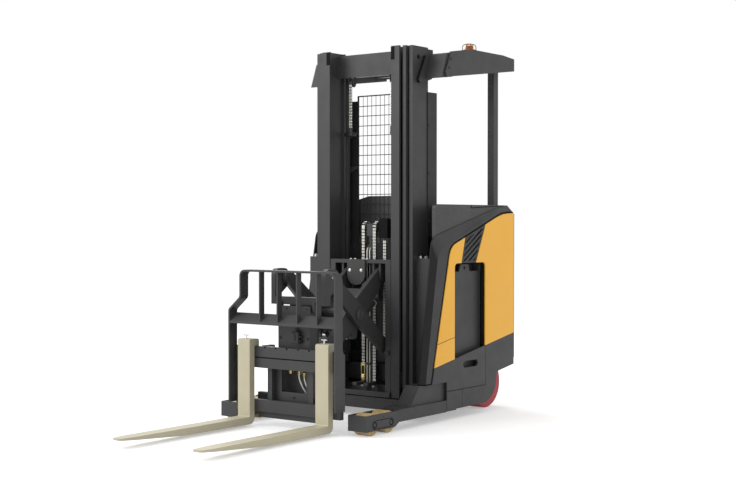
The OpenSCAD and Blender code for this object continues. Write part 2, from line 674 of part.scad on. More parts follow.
// Inner arms run from the carriage's upper pins down to the fork frame
module arms_inner() placed() color(dark) {
  both() {
    difference() {
      union() {
        link([arm_b0, arm_b1], mid_pin, [pivot_y, pin_z], arm_mid_r + 12, arm_r + 12);
        link([arm_b0, arm_b1], mid_pin, [front_y, low_z], arm_mid_r + 12, arm_r);
      }
      rod_x(pin_d / 2 + fit, [arm_b0 - 1, arm_b1 + 1], pivot_y, pin_z);
    }
    link([arm_b0, arm_b1], mid_pin, ram_b, 45, 28);
    rod_x(9, [ram_x - 14, arm_b0 + 1], ram_b[0], ram_b[1]);
    rod_x(pin_d / 2, [arm_b1 - 1, arm_a1 + 4], mid_pin[0], mid_pin[1]);
    rod_x(arm_r, [arm_a1 + 2, arm_a1 + 8], mid_pin[0], mid_pin[1]);
    rod_x(15, [slot_x0 + 24, arm_b0 + 1], front_y, low_z);
    rod_x(roller_d / 2, [slot_x0 + 20, slot_x1 - 6], front_y, low_z);
  }
  rod_x(30, [-arm_b0 - 1, arm_b0 + 1], mid_pin[0], mid_pin[1]);
  side([-arm_b0 - 1, arm_b0 + 1], [for (c = [[0, 1], [0, -1], [1, -1], [1, 1]])
    mid_pin + c[0] * web_share * arm_half + c[1] * web_t / 2 * [-arm_half[1], arm_half[0]] / norm(arm_half)]);
}
// Outer arms run from the fork frame's upper pins down to the carriage tracks
module arms_outer() placed() color(dark) both() {
  difference() {
    union() {
      link([arm_a0, arm_a1], mid_pin, [front_y, pin_z], arm_mid_r, arm_r);
      link([arm_a0, arm_a1], mid_pin, [pivot_y, low_z], arm_mid_r, arm_r);
    }
    rod_x(pin_d / 2 + fit, [arm_a0 - 1, arm_a1 + 1], mid_pin[0], mid_pin[1]);
    rod_x(pin_d / 2 + fit, [arm_a0 - 1, arm_a1 + 1], front_y, pin_z);
  }
  rod_x(15, [arm_a1 - 1, track_x1 - track_t - gap], pivot_y, low_z);
  rod_x(roller_d / 2, [track_x0 - 3, track_x1 - track_t - gap], pivot_y, low_z);
}
// Reach cylinders between the carriage and the inner arms
ram_x = 84;
ram_r = 20;
ram_rod_r = 12;
ram_a = [pivot_y + 31, pin_z - 146];
ram_b = [mid_pin[0] - 5, mid_pin[1] - 133];
ram_l = norm(ram_b - ram_a);
ram_dir = atan2(ram_b[1] - ram_a[1], ram_b[0] - ram_a[0]);
module along_ram(x) { translate([x, ram_a[0], ram_a[1]]) rotate([ram_dir, 0, 0]) children(); }
module reach_barrels() placed() color(dark) both() difference() {
  along_ram(ram_x) {
    rod_x(24, [-12, 12], 0, 0);
    rod_y(11, 0, [20, 40], 0);
    rod_y(ram_r, 0, [37, ram_l - 140], 0);
  }
  along_ram(ram_x) {
    rod_x(ram_pin + fit, [-13, 13], 0, 0);
    rod_y(ram_rod_r + 3, 0, [60, ram_l - 160], 0);
    rod_y(ram_rod_r + slide, 0, [60, ram_l - 139], 0);
  }
}
module reach_rods() placed() color(steel) both() difference() {
  along_ram(ram_x) {
    rod_y(ram_rod_r, 0, [ram_l - 200, ram_l - 25], 0);
    rod_x(32, [-12, 12], ram_l, 0);
  }
  along_ram(ram_x) rod_x(ram_eye, [-13, 13], ram_l, 0);
}
// Fork frame: lugs on the outer arms, slots for the inner arms, tilt hinge
module fork_frame() placed() color(dark) {
  both() {
    span([slot_x0, slot_x0 + track_t], [frame_y0, frame_y1], [150, slot_top]);
    span([slot_x0, slot_x0 + track_t], [frame_y0, frame_y1 - tube_room], [150, cross_z[1]]);
    span([slot_x0, slot_x1], [frame_y0, frame_y0 + track_t], [150, cross_z[1]]);
    span([slot_x0, slot_x1], [frame_y1 - track_t, frame_y1], [150, slot_top]);
    side([lug_x0, lug_x1], rounded([
      [cross_y0, cross_z[0], 0], [cross_y0, pin_z + 58, 40], [front_y + arm_r, pin_z + 58, 60],
      [front_y + arm_r, pin_z - 40, 40], [frame_y0 + 1, cross_z[1] + 13, 0], [frame_y0 + 1, cross_z[0], 0]
    ]));
    rod_x(pin_d / 2, [arm_a0 - 4, lug_x1 + 4], front_y, pin_z);
    side([plate_x + 5, plate_x + 23], rounded([
      [tilt_y - 22, tilt_z - 22, 20], [tilt_y - 22, cross_z[0] + 20, 0], [tilt_y + 22, cross_z[0] + 20, 0],
      [tilt_y + 22, tilt_z - 22, 20]
    ]));
  }
  span([-lug_x1, lug_x1], [cross_y0, frame_y0 + 1], cross_z);
  span([-lug_x0, lug_x0], [frame_y0, frame_y0 + track_t / 2], [150, tilt_rod_z - 29]);
  rod_x(10, [-plate_x - 27, plate_x + 27], tilt_y, tilt_z);
  difference() {
    union() {
      span([-slot_x0 - 1, slot_x0 + 1], [frame_y0 - 15, frame_y0 + 1], [tilt_rod_z - 30, tilt_rod_z + 30]);
      rod_y(28, 0, [frame_y0 - 15, frame_y0 + 55], tilt_rod_z);
    }
    rod_y(18, 0, [frame_y0 - 16, frame_y0 + 45], tilt_rod_z);
  }
}
// Tilt frame: hinge barrel, plate and the two rails the fork bars slide along
rail_x = 300;
apron_x = 170;
window_x = 100;
rail_low = [bar_low + 15, bar_low + 112];
rail_up = [bar_top - 72, bar_top - 12];
module tilt_frame() placed() color(dark) difference() {
  union() {
    rod_x(18, [-plate_x, plate_x], tilt_y, tilt_z);
    span([-plate_x, plate_x], [plate_y, plate_y + plate_t], [rail_low[0], plate_top]);
    span([-apron_x, apron_x], [plate_y, plate_y + plate_t], [rail_low[0], rail_up[1]]);
    both() span([plate_x - 12, plate_x], [plate_y + 1, plate_y + 68], [rail_up[1], plate_top - 10]);
    span([-rail_x, rail_x], [plate_y, plate_y + 32], rail_up);
    span([-rail_x, rail_x], [plate_y, plate_y + 32], rail_low);
    rod_y(10, 0, [plate_y + 1, frame_y0 - 5], tilt_rod_z);
  }
  rod_x(10 + fit, [-plate_x - 1, plate_x + 1], tilt_y, tilt_z);
  span([-window_x, window_x], [plate_y - 1, plate_y + plate_t + 1], [rail_low[1] + 14, bar_top - 138]);
}
// Fork bars with the hooks that hold them on the tilt frame
hook_x = [195, 231];
hook_y = plate_y + 37;
notch_pitch = 90;
module fork_bars() placed() color(dark) difference() {
  union() {
    span([-rest_x + 12, rest_x - 12], [bar_y0, bar_y1], [bar_top - 133, bar_top]);
    span([-rest_x + 12, rest_x - 12], [bar_y0, bar_y1], [bar_low, bar_low + 75]);
    span([-250, 250], [bar_y1 - 12, bar_y1 + 8], [bar_low - 38, bar_low + 10]);
    both() {
      span([148, 184], [bar_y1 - 1, plate_y - gap], [bar_low, bar_top]);
      span(hook_x, [bar_y1 - 1, hook_y + 8], [rail_up[1] + slide, bar_top + 5]);
      span(hook_x, [hook_y, hook_y + 8], [bar_top - 32, bar_top]);
      span(hook_x, [bar_y1 - 1, hook_y + 8], [bar_low - 2, bar_low + 10]);
      span(hook_x, [hook_y, hook_y + 8], [bar_low, bar_low + 35]);
    }
  }
  span([-rest_x, rest_x], [bar_y0 - 1, bar_y0 + 8], [bar_top - 73, bar_top - 65]);
  for (x = [-3 : 3]) span([x * notch_pitch - 7, x * notch_pitch + 7], [bar_y0 - 1, bar_y0 + 16], [bar_top - 9, bar_top + 1]);
}
// Load backrest: bent outer bar, cross bar and uprights
rest_y0 = fork_y0 - 16;
rest_y1 = bar_y1 - 1;
rest_t = 12;
rest_in = 337;
rest_bar = 644;
module backrest() placed() color(dark) {
  difference() {
    face([rest_y0, rest_y0 + 70], rounded([
      [-rest_x, 145, 0], [-rest_x, 732, 30], [-rest_in, 812, 30], [-rest_in, rest_top, 40],
      [rest_x, rest_top, 60], [rest_x, 145, 0]
    ]));
    face([rest_y0 - 1, rest_y0 + 71], rounded([
      [-rest_x + rest_t, 144, 0], [-rest_x + rest_t, 727, 30], [-rest_in + rest_t, 807, 30],
      [-rest_in + rest_t, rest_top - rest_t, 28],
      [rest_x - rest_t, rest_top - rest_t, 48], [rest_x - rest_t, 144, 0]
    ]));
  }
  both() span([rest_x - rest_t, rest_x], [rest_y0 + 69, rest_y1], [145, 490]);
  side([-rest_x + 1, rest_x - 1], [
    [rest_y0, rest_bar], [rest_y0, rest_bar + rest_t], [rest_y0 + 56, rest_bar + 66], [rest_y0 + 66, rest_bar + 62]
  ]);
  for (x = [-172, -28, 128, 284]) span([x - 5, x + 5], [rest_y0 + 4, rest_y0 + 44], [rest_bar + 11, rest_top - 2]);
}
// Fork: shank, hook over the bar, tapered blade with a rounded tip
module fork(s) placed() color(beige) translate([s * fork_x, 0, 0]) {
  intersection() {
    side([-fork_w / 2, fork_w / 2], rounded([
      [bar_y1, bar_top - 16, 0], [bar_y1 + 10, bar_top - 16, 0], [bar_y1 + 10, bar_top + 46, 16],
      [fork_y0, bar_top + 46, 14], [fork_y0, fork_z, 8], [fork_tip, fork_z, 0],
      [fork_tip, fork_z - 11, 0], [fork_tip + 500, fork_z - fork_t + 2, 0], [fork_y1, fork_z - fork_t, 40],
      [fork_y1, bar_top, 0], [bar_y1, bar_top, 0]
    ]));
    translate([0, 0, -1]) linear_extrude(bar_top + 100) polygon(rounded([
      [fork_w / 2 + 1, bar_y1 + 20, 0], [fork_w / 2 + 1, fork_tip + 130, 0], [fork_w / 2 - 14, fork_tip - 1, 30],
      [-fork_w / 2 + 14, fork_tip - 1, 30], [-fork_w / 2 - 1, fork_tip + 130, 0], [-fork_w / 2 - 1, bar_y1 + 20, 0]
    ]));
  }
}
module fork_left() fork(1);
module fork_right() fork(-1);

// Steered drive wheel and the free caster at the rear corners
module drive_unit() placed() color(dark) {
  rod_z(108, drive_x, drive_y, [drive_d + 10, 470]);
  rod_z(mount_r + 8, drive_x, drive_y, [mount_z + slide, mount_z + 22]);
  rod_z(85, drive_x, drive_y, [469, 720]);
  span([drive_x - drive_w / 2 - 50, drive_x - drive_w / 2 - 8], [drive_y - 55, drive_y + 55], [drive_z - 55, drive_d + 40]);
  rod_x(30, [drive_x - drive_w / 2 - 20, drive_x + drive_w / 2 - 20], drive_y, drive_z);
}
module drive_wheel() placed() color(red) translate([drive_x, drive_y, drive_z]) rotate([0, 90, 0])
  rotate_extrude() polygon([
    [30 + fit, -drive_w / 2], [drive_d / 2 - 6, -drive_w / 2], [drive_d / 2, -drive_w / 2 + 8],
    [drive_d / 2, drive_w / 2 - 8], [drive_d / 2 - 6, drive_w / 2], [100, drive_w / 2],
    [100, drive_w / 2 - 14], [30 + fit, drive_w / 2 - 14]
  ]);
module caster_fork() placed() color(dark) {
  rod_z(70, -drive_x, drive_y, [caster_d + 10, floor_z - 47 - 0.5]);
  span([-drive_x - 12, -drive_x + 12], [drive_y - 30, caster_y + 25], [caster_z - 25, caster_d + 11]);
  rod_x(14, [-drive_x - caster_w - 20, -drive_x + caster_w + 20], caster_y, caster_z);
}
module caster_wheels() placed() color(black) for (s = [-1, 1])
  translate([-drive_x + s * (caster_w / 2 + 18), caster_y, caster_z]) rotate([0, 90, 0])
    rotate_extrude() polygon([
      [14 + fit, -caster_w / 2], [caster_d / 2 - 5, -caster_w / 2], [caster_d / 2, -caster_w / 2 + 6],
      [caster_d / 2, caster_w / 2 - 6], [caster_d / 2 - 5, caster_w / 2], [14 + fit, caster_w / 2]
    ]);

base_legs();
load_axles();
load_wheel_lf();
load_wheel_lr();
load_wheel_rf();
load_wheel_rr();
chassis_frame();
side_frames();
side_skirts();
side_panels();
side_vents();
battery();
battery_gates();
hood();
console_controls();
back_pad();
overhead_guard();
guard_arms();
guard_pillar();
beacon();
beacon_cage();
mast_outer();
lift_barrels();
mesh_guard();
mast_middle();
lift_rods();
mast_inner();
free_lift_barrel();
lift_head();
lift_chains();
reach_carriage();
arms_inner();
arms_outer();
reach_barrels();
reach_rods();
fork_frame();
tilt_frame();
fork_bars();
backrest();
fork_left();
fork_right();
drive_unit();
drive_wheel();
caster_fork();
caster_wheels();
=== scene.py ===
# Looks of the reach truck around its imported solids, in metres, forks towards -Y.
import json
import math

import bmesh
import bpy
from mathutils import Matrix, Vector


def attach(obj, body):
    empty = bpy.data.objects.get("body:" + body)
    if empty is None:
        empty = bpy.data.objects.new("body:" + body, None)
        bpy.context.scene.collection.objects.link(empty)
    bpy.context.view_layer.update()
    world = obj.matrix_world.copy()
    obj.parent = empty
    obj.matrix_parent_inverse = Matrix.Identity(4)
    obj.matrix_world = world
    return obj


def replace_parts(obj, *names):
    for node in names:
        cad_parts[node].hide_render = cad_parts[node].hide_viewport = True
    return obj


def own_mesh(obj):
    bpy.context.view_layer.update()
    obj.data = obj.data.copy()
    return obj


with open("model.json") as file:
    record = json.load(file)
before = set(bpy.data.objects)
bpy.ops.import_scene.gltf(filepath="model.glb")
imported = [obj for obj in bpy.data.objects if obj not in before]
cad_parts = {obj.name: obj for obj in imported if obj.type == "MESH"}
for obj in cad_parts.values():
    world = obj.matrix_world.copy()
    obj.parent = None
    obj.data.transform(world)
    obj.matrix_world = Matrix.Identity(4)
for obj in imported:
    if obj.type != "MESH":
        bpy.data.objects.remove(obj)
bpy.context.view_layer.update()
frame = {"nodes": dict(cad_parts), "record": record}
scene = bpy.context.scene
scene.view_settings.view_transform = "Standard"

# Camera solved from the photograph: place, heading, pitch and focal length
CAMERA_AT = (5.32488, -6.5526, 1.2833)
CAMERA_YAW = 37.07
CAMERA_PITCH = 1.01
PHOTO_W = 736
FOCAL_PX = 1329.17
SENSOR = 36.0

# Pieces are drawn in millimetres from the front of the base legs, as the solids are
SHIFT = 297.6015

# Sides and directions; the truck's left is +X
SIDES = (-1, 1)
NAMED_SIDES = ((1, "left"), (-1, "right"))
ACROSS = (1, 0, 0)
FRONT = (0, -1, 0)
UP = (0, 0, 1)


def make_camera():
    data = bpy.data.cameras.new("camera")
    data.sensor_width = SENSOR
    data.lens = FOCAL_PX * SENSOR / PHOTO_W
    data.clip_end = 100
    camera = bpy.data.objects.new("camera", data)
    camera.location = CAMERA_AT
    camera.rotation_euler = (math.radians(90 - CAMERA_PITCH), 0, math.radians(CAMERA_YAW))
    scene.collection.objects.link(camera)
    scene.camera = camera


make_camera()

# Materials: noise is used between these two levels, where most of its values lie
NOISE_LOW = 0.3
NOISE_HIGH = 0.7


class Nodes:
    """Small helper around one material's node tree."""

    def __init__(self, name):
        self.mat = bpy.data.materials.new(name)
        self.mat.use_nodes = True
        self.tree = self.mat.node_tree
        self.shader = self.tree.nodes["Principled BSDF"]
        self.coord = self.add("ShaderNodeTexCoord").outputs["Object"]

    def add(self, kind, **inputs):
        node = self.tree.nodes.new(kind)
        for key, value in inputs.items():
            node.inputs[key.replace("_", " ")].default_value = value
        return node

    def link(self, a, b):
        self.tree.links.new(a, b)

    def feed(self, socket, value):
        self.link(value, self.shader.inputs[socket])

    def set(self, **inputs):
        for key, value in inputs.items():
            self.shader.inputs[key.replace("_", " ")].default_value = value

    def noise(self, scale, detail=3.0, stretch=None):
        node = self.add("ShaderNodeTexNoise", Scale=scale, Detail=detail)
        if stretch:
            mapping = self.add("ShaderNodeMapping", Scale=stretch)
            self.link(self.coord, mapping.inputs["Vector"])
            self.link(mapping.outputs["Vector"], node.inputs["Vector"])
        else:
            self.link(self.coord, node.inputs["Vector"])
        return node.outputs["Fac"]

    def cells(self, scale):
        node = self.add("ShaderNodeTexVoronoi", Scale=scale)
        self.link(self.coord, node.inputs["Vector"])
        return node.outputs["Distance"]

    def ramp(self, fac, stops):
        node = self.add("ShaderNodeValToRGB")
        while len(node.color_ramp.elements) < len(stops):
            node.color_ramp.elements.new(0.5)
        for element, (place, color) in zip(node.color_ramp.elements, stops):
            element.position = place
            element.color = (*color, 1)
        self.link(fac, node.inputs["Fac"])
        return node.outputs["Color"]

    def tones(self, fac, color, low, high):
        """The colour times low to high, as the noise goes up."""
        return self.ramp(fac, [(NOISE_LOW, shade(color, low)), (NOISE_HIGH, shade(color, high))])

    def rescale(self, value, start, end, low=0.0, high=1.0):
        """Value mapped so that start becomes low and end becomes high."""
        node = self.add("ShaderNodeMapRange", From_Min=start, From_Max=end, To_Min=low, To_Max=high)
        self.link(value, node.inputs["Value"])
        return node.outputs["Result"]

    def spread(self, fac, low, high):
        return self.rescale(fac, NOISE_LOW, NOISE_HIGH, low, high)

    def mix(self, fac, a, b):
        """Socket a changed into the plain colour b by the factor."""
        node = self.add("ShaderNodeMix")
        node.data_type = "RGBA"
        self.link(fac, node.inputs["Factor"])
        self.link(a, node.inputs["A"])
        node.inputs["B"].default_value = (*b, 1)
        return node.outputs["Result"]

    def bump(self, height, strength, distance, edge=0.0):
        node = self.add("ShaderNodeBump", Strength=strength, Distance=distance)
        self.link(height, node.inputs["Height"])
        if edge:
            self.link(self.rounded(edge), node.inputs["Normal"])
        self.feed("Normal", node.outputs["Normal"])

    def rounded(self, radius):
        """Normal of the surface with its sharp edges rounded."""
        node = self.add("ShaderNodeBevel", Radius=radius)
        node.samples = 4
        return node.outputs["Normal"]

    def front_shade_mask(self, low, high):
        """Mask for painted shade, rising from 0 to 1 on faces that look more and more towards -Y."""
        split = self.add("ShaderNodeSeparateXYZ")
        self.link(self.add("ShaderNodeTexCoord").outputs["Normal"], split.inputs[0])
        return self.rescale(split.outputs["Y"], -low, -high)

    def edges(self, radius):
        """Mask that is 1 along sharp edges, from the rounded and the flat normal."""
        dot = self.add("ShaderNodeVectorMath")
        dot.operation = "DOT_PRODUCT"
        self.link(self.rounded(radius), dot.inputs[0])
        self.link(self.add("ShaderNodeNewGeometry").outputs["True Normal"], dot.inputs[1])
        return self.rescale(dot.outputs["Value"], 0.995, 0.86)


def shade(color, factor):
    return tuple(min(1.0, c * factor) for c in color)


def paint(name, color, rough, wear=1.35, coat=0.0, patch=0.08, gloss=0.35, front=None):
    """Paint with broad patches, dust, edges in another tone and, if asked, painted shade in another colour on
    faces that look to the front.
    """
    n = Nodes(name)
    broad = n.tones(n.noise(1.7), color, 1 - patch, 1 + patch)
    dust = n.ramp(n.noise(14, 5), [(0.35, (0, 0, 0)), (0.8, (patch, patch, patch))])
    dusty = n.mix(dust, broad, shade(color, 1.5))
    coloured = n.mix(n.edges(0.004), dusty, shade(color, wear))
    if front:
        # painted shade: faces that look to the front turn towards the darker colour
        coloured = n.mix(n.front_shade_mask(0.3, 0.5), coloured, front)
    n.feed("Base Color", coloured)
    n.feed("Roughness", n.spread(n.noise(9, 4), rough - 0.06, rough + 0.07))
    n.bump(n.noise(900, 2), 0.12, 0.0004, 0.0025)
    n.set(Coat_Weight=coat, Coat_Roughness=0.2, Specular_IOR_Level=gloss)
    return n.mat


def plastic(name, color, rough):
    """Moulded plastic with a fine grain and lighter edges."""
    n = Nodes(name)
    tone = n.tones(n.noise(3), color, 0.85, 1.12)
    n.feed("Base Color", n.mix(n.edges(0.004), tone, shade(color, 1.5)))
    n.feed("Roughness", n.spread(n.noise(40, 4), rough - 0.05, rough + 0.08))
    n.bump(n.cells(620), 0.25, 0.0004, 0.003)
    return n.mat


def metal(name, color, rough, grain, metallic=1.0):
    """Bare or plated metal with streaks along its grain."""
    n = Nodes(name)
    streak = n.noise(90, 3, grain)
    n.feed("Base Color", n.tones(streak, color, 0.72, 1.15))
    n.feed("Roughness", n.spread(streak, rough - 0.07, rough + 0.09))
    n.bump(streak, 0.08, 0.0003, 0.0015)
    n.set(Metallic=metallic)
    return n.mat


def elastomer(name, color, rough, gloss=0.5):
    """Scuffed wheel tread or rubber seal."""
    n = Nodes(name)
    scuff = n.noise(26, 6, (1.0, 2.5, 2.5))
    tone = n.ramp(scuff, [(NOISE_LOW, shade(color, 0.72)), (0.55, color), (0.8, shade(color, 1.25))])
    n.feed("Base Color", n.mix(n.edges(0.005), tone, shade(color, 0.7)))
    n.feed("Roughness", n.spread(scuff, rough, rough + 0.15))
    n.bump(n.noise(420, 4), 0.22, 0.0006, 0.003)
    n.set(Specular_IOR_Level=gloss)
    return n.mat


def vinyl(name, color):
    """Grained cover of the back cushion."""
    n = Nodes(name)
    n.feed("Base Color", n.tones(n.noise(8), color, 0.8, 1.3))
    n.feed("Roughness", n.spread(n.noise(30), 0.48, 0.62))
    n.bump(n.cells(380), 0.45, 0.0007)
    return n.mat


def lens(name, color):
    """Half clear moulded lens."""
    n = Nodes(name)
    n.feed("Base Color", n.tones(n.noise(30), color, 0.85, 1.1))
    n.bump(n.noise(160), 0.05, 0.0004)
    n.set(Roughness=0.12, Transmission_Weight=0.35, IOR=1.49)
    return n.mat


ALONG_X = (0.03, 1.0, 1.0)
ALONG_Z = (1.0, 1.0, 0.03)
DARK = (0.042, 0.042, 0.044)
BLACK = (0.007, 0.007, 0.008)
MATS = {
    "dark_paint": paint("dark_paint", DARK, 0.46),
    # dark paint with painted shade in black on the faces that look to the front
    "frame_paint_front_shaded": paint("frame_paint_front_shaded", DARK, 0.5, gloss=0.28, front=BLACK),
    "yellow_paint": paint("yellow_paint", (0.93, 0.47, 0.028), 0.36, 1.05, 0.2, 0.03),
    "fork_steel": paint("fork_steel", (0.50, 0.46, 0.33), 0.50, 0.85),
    "tan_poly": elastomer("tan_poly", (0.58, 0.41, 0.19), 0.50),
    "red_poly": elastomer("red_poly", (0.45, 0.045, 0.06), 0.50),
    "steel": metal("steel", (0.50, 0.50, 0.51), 0.36, ALONG_X),
    "chrome_rod": metal("chrome_rod", (0.74, 0.74, 0.76), 0.16, ALONG_Z),
    "chain_steel": metal("chain_steel", (0.70, 0.68, 0.62), 0.32, ALONG_Z, 0.6),
    "cast_grey": paint("cast_grey", (0.045, 0.045, 0.05), 0.62),
    "black_plastic": plastic("black_plastic", (0.018, 0.018, 0.019), 0.55),
    "dark_plastic": plastic("dark_plastic", (0.046, 0.046, 0.048), 0.52),
    "battery_case": paint("battery_case", (0.022, 0.022, 0.024), 0.5),
    "pad_vinyl": vinyl("pad_vinyl", (0.02, 0.02, 0.022)),
    "amber_lens": lens("amber_lens", (0.62, 0.12, 0.015)),
    "gold_wire": metal("gold_wire", (0.30, 0.22, 0.06), 0.4, ALONG_Z, 0.3),
    "black_wire": paint("black_wire", (0.02, 0.02, 0.021), 0.5),
    "zinc": metal("zinc", (0.80, 0.80, 0.78), 0.28, ALONG_Z),
    "brass": metal("brass", (0.62, 0.50, 0.22), 0.26, ALONG_X),
    "mat_rubber": plastic("mat_rubber", (0.02, 0.02, 0.021), 0.45),
    # black elastomer for real pads and blocks, and for the strips of painted shadow in gaps, grooves and
    # seams
    "seal_and_shadow_black": elastomer("seal_and_shadow_black", BLACK, 0.75, 0.15),
}

# Nodes whose finish the record doesn't name, and the finish each takes: the side frames take dark paint with
# painted shade on their front faces
NODE_FINISH = {"side_frames": "frame_paint_front_shaded"}


def paint_nodes():
    for sub in frame["record"]["subparts"]:
        mesh = frame["nodes"][sub["node"]].data
        mesh.materials.clear()
        mesh.materials.append(MATS[NODE_FINISH.get(sub["node"], sub["material_slot"])])


paint_nodes()


# Mesh pieces, collected in millimetres and turned into metres at the end
def build(name, bm, body, finish, angle=35):
    bmesh.ops.recalc_face_normals(bm, faces=bm.faces)
    for vert in bm.verts:
        vert.co = Vector((vert.co.x, vert.co.y - SHIFT, vert.co.z)) / 1000
    mesh = bpy.data.meshes.new(name)
    bm.to_mesh(mesh)
    bm.free()
    mesh.polygons.foreach_set("use_smooth", [True] * len(mesh.polygons))
    mesh.set_sharp_from_angle(angle=math.radians(angle))
    mesh.materials.append(MATS[finish])
    obj = bpy.data.objects.new(name, mesh)
    scene.collection.objects.link(obj)
    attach(obj, body)
    return obj


def skin(bm, rings, loop=False):
    """Faces between the rings, with flat ends unless the last ring joins the first."""
    rows = [[bm.verts.new(p) for p in ring] for ring in rings]
    for a, b in zip(rows, rows[1:] + ([rows[0]] if loop else [])):
        for i in range(len(a)):
            j = (i + 1) % len(a)
            bm.faces.new((a[i], a[j], b[j], b[i]))
    if not loop:
        bm.faces.new(rows[0])
        bm.faces.new(list(reversed(rows[-1])))


def turns(count):
    """Angles in radians that share a full turn."""
    return [2 * math.pi * i / count for i in range(count)]


def spin(bm, at, axis, profile, seg=24):
    """Lathe of (height, radius) pairs about an axis."""
    at = Vector(at)
    axis = Vector(axis).normalized()
    u = axis.orthogonal().normalized()
    w = axis.cross(u)
    spokes = [math.cos(a) * u + math.sin(a) * w for a in turns(seg)]
    skin(bm, [[at + axis * h + r * spoke for spoke in spokes] for h, r in profile])


def tube(bm, path, radius, seg=8, loop=False):
    path = [Vector(p) for p in path]
    rings = []
    side = None
    for i, p in enumerate(path):
        before = path[i - 1] if i or loop else p
        after = path[(i + 1) % len(path)] if i + 1 < len(path) or loop else p
        axis = (after - before).normalized()
        if side is None:
            side = axis.orthogonal().normalized()
        side = (side - axis * side.dot(axis)).normalized()
        up = axis.cross(side)
        rings.append([p + radius * (math.cos(a) * side + math.sin(a) * up) for a in turns(seg)])
    skin(bm, rings, loop)


def slab(bm, lo, hi, bevel=2.0, segments=2):
    """Box with rounded edges, whose points are joined where two roundings meet."""
    size = Vector(hi) - Vector(lo)
    place = Matrix.Translation((Vector(hi) + Vector(lo)) / 2) @ Matrix.Diagonal((*size, 1))
    made = bmesh.ops.create_cube(bm, size=1.0, matrix=place)
    edges = {e for v in made["verts"] for e in v.link_edges}
    made = bmesh.ops.bevel(bm, geom=list(edges), offset=bevel, segments=segments, affect="EDGES", profile=0.5)
    bmesh.ops.remove_doubles(bm, verts=made["verts"], dist=0.001)


PLATE_ORDER = {
    "x": lambda a, b, c: (c, a, b),
    "y": lambda a, b, c: (a, c, b),
    "z": lambda a, b, c: (a, b, c),
}


def plate(bm, outline, axis, lo, hi):
    """Flat outline given in the two other axes, between lo and hi along the axis."""
    order = PLATE_ORDER[axis]
    skin(bm, [[order(a, b, c) for a, b in outline] for c in (lo, hi)])


def bolt(bm, at, axis, r=9.0, head=7.0):
    """Washer and chamfered hexagon head."""
    spin(bm, at, axis, [(0, r * 1.45), (1.2, r * 1.5), (2.0, r * 1.4)], 20)
    spin(bm, at, axis, [(1.8, r), (head - 1.5, r), (head, r * 0.82)], 6)


def curve_path(points, steps=8):
    """Smooth path through the points."""
    pts = [Vector(p) for p in points]
    full = [pts[0] * 2 - pts[1]] + pts + [pts[-1] * 2 - pts[-2]]
    out = []
    for a, b, c, d in zip(full, full[1:], full[2:], full[3:]):
        square = 2 * a - 5 * b + 4 * c - d
        cube = 3 * b - a - 3 * c + d
        for k in range(steps):
            t = k / steps
            out.append(0.5 * (2 * b + (c - a) * t + square * t * t + cube * t ** 3))
    return out + [pts[-1]]


# Leaf chains: wide rows of three plates alternate with narrow rows of two, set a little back
CHAIN_PITCH = 10.0
CHAIN_END = 4
CHAIN_PIN = (22, 2.4)
LINK_T = 5.2
LINK_END = 0.9
LINK_WAIST = 0.35
ROW_X = ((-8.0, 0.0, 8.0), (-4.0, 4.0))
ROW_BACK = (0, 3)
WRAP_LOW = (0, 0.4)
WRAP_TOP = (7, 4.5)


def link_outline(y0, y1, z):
    """Two round ends, joined at a waist."""
    mid = (y0 + y1) / 2
    half = (y1 - y0) / 2
    ends = ((0, z + CHAIN_PITCH, y0 + half * LINK_WAIST), (180, z, y1 - half * LINK_WAIST))
    pts = []
    for start, centre, waist in ends:
        for k in range(5):
            a = math.radians(start + 45 * k)
            pts.append((mid + half * math.cos(a), centre + half * LINK_END * math.sin(a)))
        pts.append((waist, z + CHAIN_PITCH / 2))
    return pts


def leaf_chain(x, y, z):
    """Wide and narrow rows of a chain hanging at x between the y faces, from z[0] up to z[1]."""
    rows = (bmesh.new(), bmesh.new())
    pin_l, pin_r = CHAIN_PIN
    for i in range(int((z[1] - z[0] - 2 * CHAIN_END) / CHAIN_PITCH)):
        low = z[0] + CHAIN_END + i * CHAIN_PITCH
        kind = i % 2
        outline = link_outline(y[0] + ROW_BACK[kind], y[1], low)
        for offset in ROW_X[kind]:
            plate(rows[kind], outline, "x", x + offset - LINK_T / 2, x + offset + LINK_T / 2)
        spin(rows[1], (x - pin_l / 2, (y[0] + y[1]) / 2, low), ACROSS, [(0, pin_r), (pin_l, pin_r)], 8)
    return rows


def wrapped_chain(x, centre, radius, start, end):
    """Rows of a chain lying on a sheave from the angle start down to end, 0 pointing to +Y and 90 up."""
    rows = (bmesh.new(), bmesh.new())
    step = math.degrees(CHAIN_PITCH / radius)
    for i in range(int((start - end) / step) + 1):
        angle = math.radians(start - step * i)
        turn = Matrix.Translation((0, *centre)) @ Matrix.Rotation(angle - math.pi / 2, 4, "X")
        kind = i % 2
        low = radius + WRAP_LOW[kind]
        top = radius + WRAP_TOP[kind]
        mid = (low + top) / 2
        outline = [(-5, low), (5, low), (7, mid), (5, top), (-5, top), (-7, mid)]
        for offset in ROW_X[kind]:
            faces = (x + offset - LINK_T / 2, x + offset + LINK_T / 2)
            skin(rows[kind], [[turn @ Vector((face, p, q)) for p, q in outline] for face in faces])
    return rows


def build_chain(stem, suffix, rows, body):
    """A chain as two pieces: the wide rows bright, the narrow rows set back and painted dark as shade between
    the plates.
    """
    wide, narrow = rows
    plates = build(stem + suffix, wide, body, "chain_steel")
    # painted shade: the set-back narrow rows take the dark cast grey
    return plates, build(stem + "_inner" + suffix, narrow, body, "cast_grey")


# Front chains run from the carriage up to the sheaves of the chain head, whose lift takes them up
FRONT_CHAIN_X = 46
FRONT_CHAIN_Y = (800.0, 807.7)
FRONT_CHAIN_Z = {1: (222.0, 1248.0), -1: (330.0, 1248.0)}
SHEAVE_AT = (838.0, 1248.0)
SHEAVE_R = 30.3
SHEAVE_WRAP = (172, 20)


def take_up(pieces):
    """Gives each piece of a strand a mesh of its own."""
    for obj in pieces:
        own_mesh(obj)


